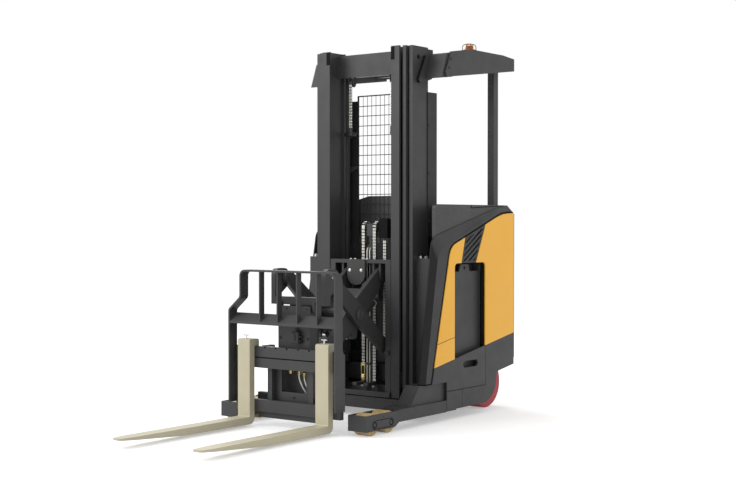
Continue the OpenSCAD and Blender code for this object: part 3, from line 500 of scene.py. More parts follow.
def make_front_chains():
    for side, name in NAMED_SIDES:
        x = side * FRONT_CHAIN_X
        strand = leaf_chain(x, FRONT_CHAIN_Y, FRONT_CHAIN_Z[side])
        pieces = build_chain("front_chain", "_" + name, strand, "carriage")
        take_up(pieces)
        if side > 0:
            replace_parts(pieces[0], "lift_chains")
        build_chain("sheave_chain", "_" + name, wrapped_chain(x, SHEAVE_AT, SHEAVE_R, *SHEAVE_WRAP), "head")


make_front_chains()

# Fork of the right front chain, nuts under both chains, and the pipes up the free-lift cylinder
CLEVIS_Y = (797, 808)
CLEVIS_GAP = 27
CLEVIS_T = 6
CLEVIS_PIN = [(0, 3), (1, 5), (37, 5), (38, 3)]
STUD_AT = (790, 170)
STUD = [(0, 5), (2, 6), (30, 6)]
NUT = [(16, 11), (25, 11), (26, 9.5)]
PIPE_X = (-13, 9)
PIPE_R = 3.6
PIPE_LINE = [(801, 214), (801, 230), (801, 1090), (806, 1104), (816, 1112)]
CLIP_Y = (796, 809)
CLIP_Z = (330, 560, 790, 1020)
CLIP_H = 16


def make_chain_anchors():
    front, rear = CLEVIS_Y
    x = -FRONT_CHAIN_X
    bm = bmesh.new()
    for cheek in (x - CLEVIS_GAP / 2, x + CLEVIS_GAP / 2):
        slab(bm, (cheek - CLEVIS_T / 2, front, 262), (cheek + CLEVIS_T / 2, rear, 340), 2)
    slab(bm, (x - 16, front, 221), (x + 16, rear, 266), 3)
    spin(bm, (x - 19, 803.5, 326), ACROSS, CLEVIS_PIN, 12)
    build("chain_anchor", bm, "carriage", "brass")
    bm = bmesh.new()
    for side in SIDES:
        spin(bm, (side * FRONT_CHAIN_X, *STUD_AT), UP, STUD, 14)
        spin(bm, (side * FRONT_CHAIN_X, *STUD_AT), UP, NUT, 6)
    build("anchor_nuts", bm, "carriage", "zinc")


def make_cylinder_pipes():
    bm = bmesh.new()
    for x in PIPE_X:
        tube(bm, [(x, y, z) for y, z in PIPE_LINE], PIPE_R, 10)
    build("cylinder_pipes", bm, "inner_mast", "chain_steel")
    bm = bmesh.new()
    for z in CLIP_Z:
        slab(bm, (PIPE_X[0] - 7, CLIP_Y[0], z), (PIPE_X[1] + 7, CLIP_Y[1], z + CLIP_H), 2)
    build("pipe_clips", bm, "inner_mast", "cast_grey")


make_chain_anchors()
make_cylinder_pipes()

# Third strand behind the left arm, hanging from a black block on the chain head
THIRD_X = 114
THIRD_Y = (822.0, 830.0)
THIRD_Z = (420.0, 1172.0)
THIRD_FOOT_Z = (402, 422)
BLOCK_X = (70, 140)
BLOCK = [(820, 1174), (862, 1174), (866, 1182), (866, 1286), (854, 1304), (832, 1307), (820, 1294)]


def make_third_strand():
    take_up(build_chain("third_chain", "", leaf_chain(THIRD_X, THIRD_Y, THIRD_Z), "carriage"))
    low, high = THIRD_FOOT_Z
    bm = bmesh.new()
    slab(bm, (100, 815, low), (249, 832, high), 3)
    slab(bm, (228, 808, low), (249, 820, high), 2)
    build("third_anchor", bm, "carriage", "cast_grey")
    bm = bmesh.new()
    plate(bm, BLOCK, "x", *BLOCK_X)
    bolt(bm, (BLOCK_X[1], 844, 1252), ACROSS, 9, 6)
    slab(bm, (26, 834, 1216), (74, 858, 1240), 3)
    build("strand_block", bm, "head", "seal_and_shadow_black")


make_third_strand()

# Rear chains under the top beam of the inner mast, each on a small sheave and held by a bracket
REAR_CHAIN_X = 172
REAR_CHAIN_Y = (824, 832)
REAR_CHAIN_Z = (1908.0, 2216.0)
REAR_SHEAVE_AT = (846, 2214)
REAR_SHEAVE = [(-15, 8), (-15, 22), (-12, 27), (-11, 18), (11, 18), (12, 27), (15, 22), (15, 8)]
SHEAVE_CHEEK = [(830, 2252), (862, 2252), (858, 2205), (846, 2194), (834, 2205)]
SHEAVE_CHEEK_X = 20
SHEAVE_CHEEK_T = 6
BRACKET_X = 262
BRACKET_Y = (866, 876)
BRACKET_Z = 1860


def make_rear_chains():
    for side, name in NAMED_SIDES:
        x = side * REAR_CHAIN_X
        strand = leaf_chain(x, REAR_CHAIN_Y, REAR_CHAIN_Z)
        build_chain("rear_chain", "_" + name, strand, "inner_mast")
        bm = bmesh.new()
        spin(bm, (x, *REAR_SHEAVE_AT), ACROSS, REAR_SHEAVE, 28)
        for cheek in (x - SHEAVE_CHEEK_X, x + SHEAVE_CHEEK_X):
            plate(bm, SHEAVE_CHEEK, "x", cheek - SHEAVE_CHEEK_T / 2, cheek + SHEAVE_CHEEK_T / 2)
        outside = x + side * (SHEAVE_CHEEK_X + SHEAVE_CHEEK_T / 2)
        bolt(bm, (outside, *REAR_SHEAVE_AT), (side, 0, 0), 7, 6)
        build("rear_sheave_" + name, bm, "inner_mast", "cast_grey")
        bm = bmesh.new()
        slab(bm, (x - 13, 822, 1870), (x + 13, 834, 1916), 4)
        lo, hi = sorted((x, side * BRACKET_X))
        slab(bm, (lo, BRACKET_Y[0], BRACKET_Z), (hi, BRACKET_Y[1], BRACKET_Z + 28), 2)
        slab(bm, (x - 14, 822, BRACKET_Z), (x + 14, BRACKET_Y[1], BRACKET_Z + 14), 2)
        build("rear_anchor_" + name, bm, "inner_mast", "black_plastic")


make_rear_chains()

# Wire mesh between the mast and the operator, on four brackets
MESH_X = 217
MESH_Z = (1134.0, 2136.0)
MESH_Y = 980.0
MESH_PITCH = (36.2, 67.0)
COLUMN_R = 1.7
ROW_R = 2.6
MESH_BRACKET_X = (226, 300)
MESH_BRACKET_Y = (956, 979)
MESH_BRACKET_TOPS = (1895, 1660)


def make_mesh():
    bm = bmesh.new()
    low, high = MESH_Z
    columns = round(2 * MESH_X / MESH_PITCH[0])
    for i in range(1, columns):
        x = -MESH_X + 2 * MESH_X * i / columns
        tube(bm, [(x, MESH_Y - 1, low), (x, MESH_Y - 1, high)], COLUMN_R, 6)
    rows = round((high - low) / MESH_PITCH[1])
    for i in range(1, rows):
        z = low + (high - low) * i / rows
        tube(bm, [(-MESH_X, MESH_Y + 1.2, z), (MESH_X, MESH_Y + 1.2, z)], ROW_R, 6)
    build("mesh_wires", bm, "chassis", "black_wire")
    bm = bmesh.new()
    inner, outer = MESH_BRACKET_X
    for side in SIDES:
        for top in MESH_BRACKET_TOPS:
            corners = ((outer, top), (inner, top), (inner, top - 16), (outer, top - 62))
            plate(bm, [(side * x, z) for x, z in corners], "y", *MESH_BRACKET_Y)
    build("mesh_brackets", bm, "chassis", "dark_paint")


make_mesh()

# Black ribbed sheet behind the mast, in front of the battery bulkhead: painted shade that darkens the inside
# of the mast
SHADOW_LINER_X = 388
SHADOW_LINER_Y = (979.2, 982.6)
SHADOW_LINER_Z = (402, 1128)
RIB_Y = 978.6
RIB_X = -384
RIB_PITCH = 25.6
RIBS = 31


def make_shadow_liner():
    bm = bmesh.new()
    face, back = SHADOW_LINER_Y
    plate(bm, [(-SHADOW_LINER_X, face), (SHADOW_LINER_X, face), (SHADOW_LINER_X, back), (-SHADOW_LINER_X, back)], "z", *SHADOW_LINER_Z)
    for i in range(RIBS):
        x = RIB_X + RIB_PITCH * i
        root = [(x + 4, face), (x + 4, face + 1), (x - 4, face + 1), (x - 4, face)]
        plate(bm, root + [(x - 3, RIB_Y), (x + 3, RIB_Y)], "z", *SHADOW_LINER_Z)
    # painted shade: a black sheet where the inside of the mast lies in shade
    build("mast_shadow_liner", bm, "chassis", "black_plastic")


make_shadow_liner()

# Bolts of the mast mounts, and of the carriage's top plate and tongue
MOUNT_BOLT_X = (412, 458)
MOUNT_TOP = (812, 1045)
TOP_BOLT_X = (-102, -67, 31)
TOP_PLATE = (742, 1034)
TONGUE_BOLT_X = (-76, 18)
TONGUE = (694, 963)


def make_mast_bolts():
    bm = bmesh.new()
    for side in SIDES:
        for x in MOUNT_BOLT_X:
            bolt(bm, (side * x, *MOUNT_TOP), UP, 12, 16)
    build("mount_bolts", bm, "chassis", "zinc")
    bm = bmesh.new()
    for x in TOP_BOLT_X:
        bolt(bm, (x, *TOP_PLATE), UP, 8, 8)
    for x in TONGUE_BOLT_X:
        bolt(bm, (x, *TONGUE), FRONT, 7, 6)
    build("carriage_bolts", bm, "carriage", "zinc")


make_mast_bolts()

# Caps on the scissor's cross pin, nuts on the upper pins of its front frame
ARM_X = 188
CROSS_PIN = (466.1, 691.3)
CROSS_CAP = [(0, 34), (3, 34), (5, 31), (5, 20), (3.5, 18)]
LUG_X = 220
UPPER_PIN = (173.2, 931)
PIN_STOP_AT = (140, 940)
PIN_STOP = [(0, 9), (4, 9), (6, 6)]


def make_scissor_pins():
    bm = bmesh.new()
    for side in SIDES:
        spin(bm, (side * ARM_X, *CROSS_PIN), (side, 0, 0), CROSS_CAP, 28)
        bolt(bm, (side * (ARM_X + 3), *CROSS_PIN), (side, 0, 0), 8, 7)
    build("cross_pin_caps", bm, "inner_arms", "dark_paint")
    bm = bmesh.new()
    for side in SIDES:
        bolt(bm, (side * (LUG_X + 4), *UPPER_PIN), (side, 0, 0), 14, 12)
        spin(bm, (side * LUG_X, *PIN_STOP_AT), (side, 0, 0), PIN_STOP, 16)
    build("upper_pin_nuts", bm, "scissor_front", "zinc")


make_scissor_pins()

# Black bolts of the guard, of the covers behind the mast and of the tilt plate
GUARD_X = 555
GUARD_BOLTS = ((954.6, 2337.5), (931, 2278))
COVER_X = 401
COVER_BOLTS = ((926, 1287), (926, 1601), (926, 1915))
TILT_FACE = 32.2
TILT_BOLTS = ((745, 6, (-105, -60, 105)), (560, 7, (-110, 110)), (192, 6, (-230, -150, 0, 150, 230)))


def make_black_bolts():
    bm = bmesh.new()
    for x, places in ((GUARD_X, GUARD_BOLTS), (COVER_X, COVER_BOLTS)):
        for place in places:
            for side in SIDES:
                bolt(bm, (side * x, *place), (side, 0, 0), 6, 5)
    build("guard_bolts", bm, "chassis", "black_plastic")
    bm = bmesh.new()
    for z, r, row in TILT_BOLTS:
        for x in row:
            bolt(bm, (x, TILT_FACE, z), FRONT, r, r - 1)
    build("tilt_bolts", bm, "tilting", "black_plastic")


make_black_bolts()

# Knobs on the carriage's tracks, and black pads at the top of the inner rails
KNOB_X = 226
KNOB_AT = (710, 430)
KNOB = [(0, 13), (5, 13), (7, 18), (18, 18), (22, 14), (24, 6)]
PAD_X = 267
PAD_HALF = 14
PAD_Y = (701.2, 706)
PAD_Z = (2330, 2414)


def make_stops():
    bm = bmesh.new()
    for side in SIDES:
        spin(bm, (side * KNOB_X, *KNOB_AT), FRONT, KNOB, 24)
    build("carriage_knobs", bm, "carriage", "black_plastic")
    bm = bmesh.new()
    for side in SIDES:
        x = side * PAD_X
        slab(bm, (x - PAD_HALF, PAD_Y[0], PAD_Z[0]), (x + PAD_HALF, PAD_Y[1], PAD_Z[1]), 2)
    build("stop_pads", bm, "inner_mast", "seal_and_shadow_black")


make_stops()

# Valve block on the tilt plate, and the elbows and bent pipes seen through the plate's window
VALVE_Y = 18
VALVE_PORT = [(0, 9), (3, 9), (4, 7), (16, 7), (17, 5)]
VALVE_COIL = [(0, 10), (5, 10), (6, 8), (22, 8), (24, 5)]
ELBOWS = ((-78, 348), (-8, 344), (34, 336))
ELBOW_Y = 92
ELBOW_BACK = [(0, 12), (9, 12), (10, 9), (24, 9), (25, 7), (32, 7)]
ELBOW_DROP = [(0, 8), (14, 8), (15, 10), (22, 10), (24, 7)]
PIPE_BEND = [(0, 0, -16), (4, 0, -44), (26, 3, -92), (48, 12, -128), (54, 24, -146)]


def make_valve():
    bm = bmesh.new()
    slab(bm, (4, 3, 530), (58, TILT_FACE + 0.2, 606), 3)
    slab(bm, (12, -2, 548), (34, 4, 590), 2)
    for z in (545, 572):
        spin(bm, (57, VALVE_Y, z), ACROSS, VALVE_PORT, 6)
    spin(bm, (31, VALVE_Y, 605), UP, VALVE_COIL, 16)
    build("valve_block", bm, "tilting", "black_plastic")


def make_elbows():
    bm = bmesh.new()
    for x, z in ELBOWS:
        spin(bm, (x, ELBOW_Y + 26, z), FRONT, ELBOW_BACK, 6)
        spin(bm, (x, ELBOW_Y, z + 6), (0, 0, -1), ELBOW_DROP, 6)
    build("hose_elbows", bm, "scissor_front", "brass")
    bm = bmesh.new()
    for x, z in ELBOWS[1:]:
        path = [(x + dx, ELBOW_Y + dy, z + dz) for dx, dy, dz in PIPE_BEND]
        tube(bm, curve_path(path), 5, 10)
    build("elbow_pipes", bm, "scissor_front", "chain_steel")


make_valve()
make_elbows()

# Fork lock pins, each with a cross handle, and a black strip as painted shadow in the groove along the upper
# fork bar
FORK_PIN_X = (-322, 308)
FORK_PIN_Y = -50
FORK_TOP = 548
FORK_PIN = [(0, 9), (3, 9), (4, 4.5), (20, 4.5), (21, 6), (26, 6), (27, 4)]
HANDLE = [(-19, 23), (-17, 23.5), (17, 23.5), (19, 23)]
BAR_GROOVE_LO = (-419, -34, 429.3)
BAR_GROOVE_HI = (419, -29, 436.7)


def make_fork_pins():
    bm = bmesh.new()
    for x in FORK_PIN_X:
        spin(bm, (x, FORK_PIN_Y, FORK_TOP), UP, FORK_PIN, 14)
        tube(bm, [(x + dx, FORK_PIN_Y, FORK_TOP + h) for dx, h in HANDLE], 4, 10)
    build("fork_lock_pins", bm, "fork_carriage", "zinc")
    bm = bmesh.new()
    slab(bm, BAR_GROOVE_LO, BAR_GROOVE_HI, 1)
    # painted shadow: black strip in the groove of the upper fork bar
    build("bar_groove_shadow_strip", bm, "fork_carriage", "seal_and_shadow_black")


make_fork_pins()

# Beacon lens with moulded ribs over its base, inside an arched wire cage
BEACON = (490.0, 1268.0, 2385.0)
CAGE_R = 45.5
CAGE_ARCH = [(CAGE_R, 2.5), (CAGE_R, 40), (CAGE_R, 62), (44, 71), (39, 78), (31, 82.5), (16, 85), (0, 85.5)]
CAGE_TURN = 37
CAGE_HOOPS = (3, 44)
ARCH_R = 3.0
HOOP_R = 2.2
BEACON_BASE = [(0.2, 38), (8, 40), (17, 40), (22, 31)]
LENS_RIBS = 7


def make_beacon():
    x, y, z = BEACON
    bm = bmesh.new()
    spin(bm, BEACON, UP, BEACON_BASE, 32)
    build("beacon_base", bm, "chassis", "black_plastic")
    bm = bmesh.new()
    rows = [(21, 27)]
    for k in range(LENS_RIBS):
        rows += [(24 + 7 * k, 28), (27 + 7 * k, 26.5)]
    rows += [(71, 26), (74, 22), (75, 4)]
    spin(bm, BEACON, UP, rows, 32)
    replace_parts(build("beacon_lens", bm, "chassis", "amber_lens"), "beacon")
    bm = bmesh.new()
    arch = CAGE_ARCH + [(-r, h) for r, h in reversed(CAGE_ARCH[:-1])]
    for k in range(3):
        a = math.radians(60 * k + CAGE_TURN)
        tube(bm, [(x + r * math.cos(a), y + r * math.sin(a), z + h) for r, h in arch], ARCH_R, 8)
    for h in CAGE_HOOPS:
        hoop = [(x + CAGE_R * math.cos(a), y + CAGE_R * math.sin(a), z + h) for a in turns(40)]
        tube(bm, hoop, HOOP_R, 8, loop=True)
    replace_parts(build("cage_wires", bm, "chassis", "gold_wire"), "beacon_cage")


make_beacon()

# Black tube as painted shadow in the gap round the panels; the far side starts further back, with a smaller
# corner
PANEL_FOOT = (691.0, 252.0)
PANEL_HEAD = (905.0, 1121.0)
PANEL_KNEE = (1547.0, 1340.0)
PANEL_TAIL = 1656
PANEL_SIDES = ((1, 0, 110, "left"), (-1, 130, 50, "right"))
KNEE_R = 480
GAP_SHADOW_INSET = 6.0
GAP_SHADOW_X = 579.5
GAP_SHADOW_R = 5.8


def bend(p, c, n, radius, steps=9):
    """Round corner at c between the points p and n."""
    p, c, n = Vector(p), Vector(c), Vector(n)
    a = (p - c).normalized()
    b = (n - c).normalized()
    half = math.acos(max(-1.0, min(1.0, a.dot(b)))) / 2
    start = c + a * radius / math.tan(half)
    end = c + b * radius / math.tan(half)
    out = []
    for k in range(steps + 1):
        t = k / steps
        out.append(start * (1 - t) ** 2 + c * 2 * t * (1 - t) + end * t ** 2)
    return out


def make_panel_gap_shadows():
    slope = (PANEL_KNEE[1] - PANEL_HEAD[1]) / (PANEL_KNEE[0] - PANEL_HEAD[0])
    top_z = PANEL_KNEE[1] + GAP_SHADOW_INSET
    for side, back, radius, name in PANEL_SIDES:
        ahead = back - GAP_SHADOW_INSET
        foot = (PANEL_FOOT[0] + ahead, PANEL_FOOT[1])
        head = (PANEL_HEAD[0] + ahead, PANEL_HEAD[1] + slope * ahead + GAP_SHADOW_INSET)
        knee = (PANEL_KNEE[0], top_z)
        tail = (PANEL_TAIL, top_z)
        corners = bend(foot, head, knee, radius) + bend(head, knee, tail, KNEE_R)
        line = [Vector(foot)] + corners + [Vector(tail)]
        bm = bmesh.new()
        # painted shadow: black tube along the gap round the panel
        tube(bm, [(side * GAP_SHADOW_X, p.x, p.y) for p in line], GAP_SHADOW_R, 10)
        build("panel_gap_shadow_" + name, bm, "chassis", "seal_and_shadow_black")


make_panel_gap_shadows()

# Dark lines of the body: a black slab on the rear edge, and black strips as painted shadow in the lid seam of
# the hood, over the foot wedges and in the seams of the skirts
LID_X = 547
LID_LINE = [(1206, 1395), (1206, 1376), (1209, 1373.5), (1400, 1383), (1612, 1393)]
LID_R = 2.6
TRIM_X = (559.5, 586.5)
TRIM_Y = (1689, 1698)
TRIM_Z = (345, 1336)
FOOT_Z = 253
FOOT_R = 4.5
FOOT_LINES = {
    1: [(582, 688), (582, 624), (553, 596), (547, 596)],
    -1: [(582, 818), (582, 775), (553, 783), (547, 783)],
}
SEAM_X = 583.2
SEAM_R = 1.95
SEAM_LINES = (((1327, 452), (1327, 189)), ((1328, 189), (861, 189)), ((1039, 189), (1039, 70)))


def make_body_lines():
    bm = bmesh.new()
    # painted shadow: black tube in the lid seam of the hood
    tube(bm, [(LID_X, y, z) for y, z in LID_LINE], LID_R, 8)
    build("lid_gap_shadow", bm, "chassis", "seal_and_shadow_black")
    bm = bmesh.new()
    for side in SIDES:
        inner, outer = sorted(side * x for x in TRIM_X)
        slab(bm, (inner, TRIM_Y[0], TRIM_Z[0]), (outer, TRIM_Y[1], TRIM_Z[1]), 2)
    build("rear_trim", bm, "chassis", "seal_and_shadow_black")
    bm = bmesh.new()
    for side, line in FOOT_LINES.items():
        # painted shadow: black tube between the band's bottom and the foot wedge
        tube(bm, [(side * x, y, FOOT_Z) for x, y in line], FOOT_R, 10)
    build("foot_shadow_strips", bm, "chassis", "seal_and_shadow_black")
    bm = bmesh.new()
    for side in SIDES:
        for line in SEAM_LINES:
            # painted shadow: black tube at the bottom of the skirt seams
            tube(bm, [(side * SEAM_X, y, z) for y, z in line], SEAM_R, 8)
    build("skirt_seam_shadows", bm, "chassis", "seal_and_shadow_black")


make_body_lines()

# Ears of the guard arms on the outer sides of the mast, seen from the side, in dark paint with painted shade
# on their front faces
EAR = [(870, 2362), (788, 2206), (789, 2194), (797, 2184), (810, 2179), (822, 2180), (935, 2213), (935, 2374)]
EAR_T = 22
MAST_X = 395


def make_ears():
    bm = bmesh.new()
    for side in SIDES:
        plate(bm, EAR, "x", *sorted((side * MAST_X, side * (MAST_X + EAR_T))))
    build("arm_ears", bm, "chassis", "frame_paint_front_shaded")


make_ears()

# Back cushion: corners in Y and Z, rings of depth, inset and corner radius, and the two rings of its face
CUSHION_LO = (1391, 881)
CUSHION_HI = (1649, 1249)
CUSHION_RINGS = (
    (-546.6, 6, 36),
    (-536, 1, 40),
    (-524, 0, 42),
    (-514, 2, 44),
    (-507, 8, 48),
    (-502, 18, 50),
    (-498.5, 34, 50),
)
CUSHION_FACE = ((-496.4, 0.75), (-493.5, 0.42))
PIPING = (-510, 4.5, 46)
PIPING_R = 2.6


def cushion_ring(depth, inset, radius):
    """Rounded rectangle in Y and Z at one depth along X."""
    y0, y1 = CUSHION_LO[0] + inset + radius, CUSHION_HI[0] - inset - radius
    z0, z1 = CUSHION_LO[1] + inset + radius, CUSHION_HI[1] - inset - radius
    ring = []
    for y, z, start in ((y1, z1, 0), (y0, z1, 90), (y0, z0, 180), (y1, z0, 270)):
        for k in range(9):
            a = math.radians(start + 11.25 * k)
            ring.append((depth, y + radius * math.cos(a), z + radius * math.sin(a)))
    return ring


def make_cushion():
    rings = [cushion_ring(*row) for row in CUSHION_RINGS]
    rim = rings[-1]
    mid_y, mid_z = ((lo + hi) / 2 for lo, hi in zip(CUSHION_LO, CUSHION_HI))
    for depth, share in CUSHION_FACE:
        rings.append([(depth, mid_y + share * (y - mid_y), mid_z + share * (z - mid_z)) for _, y, z in rim])
    bm = bmesh.new()
    skin(bm, rings)
    pad = build("back_cushion", bm, "chassis", "pad_vinyl", 60)
    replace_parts(pad, "back_pad")
    bm = bmesh.new()
    tube(bm, cushion_ring(*PIPING), PIPING_R, 6, loop=True)
    build("cushion_piping", bm, "chassis", "pad_vinyl", 60)


make_cushion()

# Operator's controls: steering disc with its knob, control handle with buttons, display with keys
TILLER = (290.0, 1490.0, 1150.0)
TILLER_R = 84
TILLER_HUB = [(0.3, 32), (10, 32), (16, 24), (28, 22), (32, 30), (36, 34), (40, 30), (41, 6)]
TILLER_SPOKE = ((20, 35), (50, 33), (80, 37))
TILLER_KNOB = [(38, 7), (52, 7), (56, 12), (72, 16), (86, 15.5), (93, 10), (94.5, 3)]
GRIP = (-240.0, 1262.0, 1180.0)
GRIP_ROWS = [
    (38, 18), (44, 22), (50, 17), (58, 16), (66, 19), (74, 17.5),
    (84, 20), (94, 18.5), (104, 22), (114, 23), (121, 18), (124, 6),
]
BUTTON = [(0, 7), (3, 7), (4.5, 5)]
DISPLAY_X = (-130, 60)
DISPLAY_Y = 1128
DISPLAY_Z = (1300, 1430)
KEY = [(0, 8), (3, 8), (4.5, 6)]


def make_tiller():
    x, y, z = TILLER
    bm = bmesh.new()
    spin(bm, TILLER, UP, TILLER_HUB, 32)
    rim = [(x + TILLER_R * math.cos(a), y + TILLER_R * math.sin(a), z + 38) for a in turns(48)]
    tube(bm, rim, 10, 12, loop=True)
    for k in range(3):
        a = math.radians(120 * k + 60)
        spoke = [(x + r * math.cos(a), y + r * math.sin(a), z + h) for r, h in TILLER_SPOKE]
        tube(bm, curve_path(spoke, 5), 8, 10)
    spin(bm, (x - 60, y, z), UP, TILLER_KNOB, 20)
    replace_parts(build("steer_disc", bm, "chassis", "black_plastic"), "console_controls")


def make_grip():
    x, y, z = GRIP
    bm = bmesh.new()
    slab(bm, (x - 89, y - 44, z + 0.3), (x + 89, y + 44, z + 38), 10, 3)
    for k in range(4):
        slab(bm, (x - 76 + 22 * k, y + 16, z + 37), (x - 60 + 22 * k, y + 32, z + 39.6), 1.5)
    spin(bm, GRIP, UP, GRIP_ROWS, 20)
    slab(bm, (x - 14, y + 14, z + 100), (x + 14, y + 24, z + 116), 3)
    build("control_handle", bm, "chassis", "black_plastic")
    bm = bmesh.new()
    for k in range(3):
        spin(bm, (x + 30 + 20 * k, y + 22, z + 37), UP, BUTTON, 16)
    build("handle_buttons", bm, "chassis", "zinc")


def make_display():
    left, right = DISPLAY_X
    low, high = DISPLAY_Z
    bm = bmesh.new()
    slab(bm, (left, DISPLAY_Y - 16, low), (right, DISPLAY_Y, high), 8, 3)
    slab(bm, (left + 18, DISPLAY_Y - 2, low + 30), (right - 18, DISPLAY_Y + 2, high - 12), 2)
    build("display_panel", bm, "chassis", "black_plastic")
    bm = bmesh.new()
    for k in range(6):
        spin(bm, (left + 30 + 26 * k, DISPLAY_Y, low + 16), (0, 1, 0), KEY, 16)
    build("display_keys", bm, "chassis", "dark_plastic")


make_tiller()
make_grip()
make_display()


# Floor mat with ribs, and the brake pedal on it
MAT_LO = (-530, 1325, 285.2)
MAT_HI = (158, 1684, 292)
MAT_EDGE = 20
MAT_RIBS = 16
MAT_PITCH = 42
PEDAL_LO = (-420, 1380, 295)
PEDAL_HI = (-300, 1560, 312)
PEDAL_EDGE = 10
PEDAL_RIBS = 7
PEDAL_PITCH = 22


def make_mat():
    bm = bmesh.new()
    slab(bm, MAT_LO, MAT_HI, 2)
    for i in range(MAT_RIBS):
        x = MAT_LO[0] + MAT_EDGE + MAT_PITCH * i
        slab(bm, (x, MAT_LO[1] + MAT_EDGE, MAT_HI[2] - 1), (x + 22, MAT_HI[1] - MAT_EDGE, MAT_HI[2] + 4), 2)
    build("floor_mat", bm, "chassis", "mat_rubber")
    bm = bmesh.new()
    slab(bm, PEDAL_LO, PEDAL_HI, 5)
    left, right = PEDAL_LO[0] + PEDAL_EDGE, PEDAL_HI[0] - PEDAL_EDGE
    for i in range(PEDAL_RIBS):
        y = PEDAL_LO[1] + 14 + PEDAL_PITCH * i
        slab(bm, (left, y, PEDAL_HI[2] - 1), (right, y + 10, PEDAL_HI[2] + 3), 1.5)
    build("brake_pedal", bm, "chassis", "black_plastic")


make_mat()

# Hub of the drive wheel, ends of the load wheels' axles with their seals and a black tube as painted shadow
# in the groove round them, glands of the reach cylinders
DRIVE_AT = (396, 1550, 171.5)
DRIVE_HUB = [(44, 99), (47, 99), (48, 92), (46.5, 60), (50, 56), (52, 34), (46.3, 32)]
HUB_BOLT_R = 76
AXLE_Y = (85, 250)
AXLE_Z = 67.5
AXLE_X = 585
AXLE_END = [(-1, 13.5), (0.9, 13.5), (1.7, 12), (1.7, 6), (0.8, 5)]
AXLE_RING = [(0, 19), (0, 20.4), (2.4, 20.4), (2.4, 12.5), (0, 12.5)]
GROOVE_X = 583.4
GROOVE_R = 25
RAM_X = 84
RAM_START = (790.0, 785.0)
RAM_END = (461.1, 558.3)
ROD_OUT = 152
COLLAR_AT = 52
GLAND = [(0, 20.6), (1, 23.5), (13, 23.5), (15, 21), (15, 13.5)]
COLLAR = [(0, 20.6), (1, 22.5), (9, 22.5), (10, 20.6)]


def make_drive_hub():
    x, y, z = DRIVE_AT
    bm = bmesh.new()
    spin(bm, DRIVE_AT, ACROSS, DRIVE_HUB, 40)
    for a in turns(7):
        bolt(bm, (x + 47, y + HUB_BOLT_R * math.cos(a), z + HUB_BOLT_R * math.sin(a)), ACROSS, 8, 10)
    build("drive_hub", bm, "drive_tyre", "cast_grey")


def make_axle_ends():
    bm = bmesh.new()
    for side in SIDES:
        for y in AXLE_Y:
            spin(bm, (side * AXLE_X, y, AXLE_Z), (side, 0, 0), AXLE_END, 28)
    build("axle_ends", bm, "chassis", "dark_paint")
    bm = bmesh.new()
    half_turn = [math.radians(90 + 15 * k) for k in range(13)]
    arcs = [(AXLE_Y[0], a) for a in half_turn] + [(AXLE_Y[1], a + math.pi) for a in half_turn]
    groove = [(y + GROOVE_R * math.cos(a), AXLE_Z + GROOVE_R * math.sin(a)) for y, a in arcs]
    for side in SIDES:
        # painted shadow: black tube at the bottom of the groove round the axle ends
        tube(bm, [(side * GROOVE_X, y, z) for y, z in groove], SEAM_R, 8, loop=True)
        for y in AXLE_Y:
            spin(bm, (side * (AXLE_X - 1), y, AXLE_Z), (side, 0, 0), AXLE_RING, 28)
    build("axle_seals_and_groove_shadow", bm, "chassis", "seal_and_shadow_black")


def make_ram_glands():
    bm = bmesh.new()
    for side in SIDES:
        start = Vector((side * RAM_X, *RAM_START))
        way = Vector((side * RAM_X, *RAM_END)) - start
        length = way.length
        way.normalize()
        spin(bm, start + way * (length - ROD_OUT), way, GLAND, 28)
        spin(bm, start + way * COLLAR_AT, way, COLLAR, 28)
    build("ram_glands", bm, "ram_barrels", "zinc")


make_drive_hub()
make_axle_ends()
make_ram_glands()

# Studio floor and light: the floor's own glow and the light from all sides make the white ground
FLOOR_GREY = (0.80, 0.80, 0.80, 1)
FLOOR_GLOW = 0.36
AMBIENT = 0.86


def lamp(name, energy, at, aim, size):
    data = bpy.data.lights.new(name, "AREA")
    data.energy = energy
    data.size = size
    obj = bpy.data.objects.new(name, data)
    obj.location = at
    obj.rotation_euler = (Vector(aim) - Vector(at)).to_track_quat("-Z", "Y").to_euler()
    scene.collection.objects.link(obj)


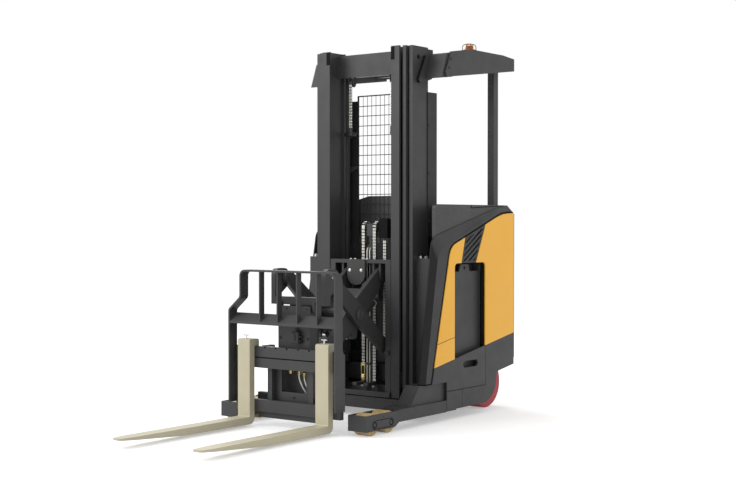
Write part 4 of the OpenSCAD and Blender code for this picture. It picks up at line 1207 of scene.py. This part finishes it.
def seen_directly(tree):
    """1 for rays that show the background: from the camera, in gloss or through glass."""
    path = tree.nodes.new("ShaderNodeLightPath")
    total = path.outputs["Is Camera Ray"]
    for name in ("Is Glossy Ray", "Is Transmission Ray"):
        most = tree.nodes.new("ShaderNodeMath")
        most.operation = "MAXIMUM"
        tree.links.new(total, most.inputs[0])
        tree.links.new(path.outputs[name], most.inputs[1])
        total = most.outputs[0]
    return total


def make_floor():
    bpy.ops.mesh.primitive_plane_add(size=60, location=(0, 0, 0))
    floor = bpy.context.object
    floor.name = "floor"
    mat = bpy.data.materials.new("floor")
    mat.use_nodes = True
    tree = mat.node_tree
    tree.nodes.clear()
    matte = tree.nodes.new("ShaderNodeBsdfDiffuse")
    matte.inputs["Color"].default_value = FLOOR_GREY
    glow = tree.nodes.new("ShaderNodeEmission")
    lift = tree.nodes.new("ShaderNodeMath")
    lift.operation = "MULTIPLY"
    lift.inputs[1].default_value = FLOOR_GLOW
    tree.links.new(seen_directly(tree), lift.inputs[0])
    tree.links.new(lift.outputs[0], glow.inputs["Strength"])
    both = tree.nodes.new("ShaderNodeAddShader")
    tree.links.new(matte.outputs[0], both.inputs[0])
    tree.links.new(glow.outputs[0], both.inputs[1])
    out = tree.nodes.new("ShaderNodeOutputMaterial")
    tree.links.new(both.outputs[0], out.inputs["Surface"])
    floor.data.materials.append(mat)


def make_world():
    world = bpy.data.worlds.new("world")
    world.use_nodes = True
    tree = world.node_tree
    back = tree.nodes["Background"]
    back.inputs["Color"].default_value = (1, 1, 1, 1)
    level = tree.nodes.new("ShaderNodeMapRange")
    level.inputs["To Min"].default_value = AMBIENT
    level.inputs["To Max"].default_value = 1.0
    tree.links.new(seen_directly(tree), level.inputs["Value"])
    tree.links.new(level.outputs["Result"], back.inputs["Strength"])
    scene.world = world


make_floor()
make_world()
lamp("key", 290, (-4.2, -5.2, 5.0), (0, 0, 1.0), 4.2)
lamp("rim", 120, (-4.0, 3.5, 5.0), (0, 0, 1.2), 3.0)
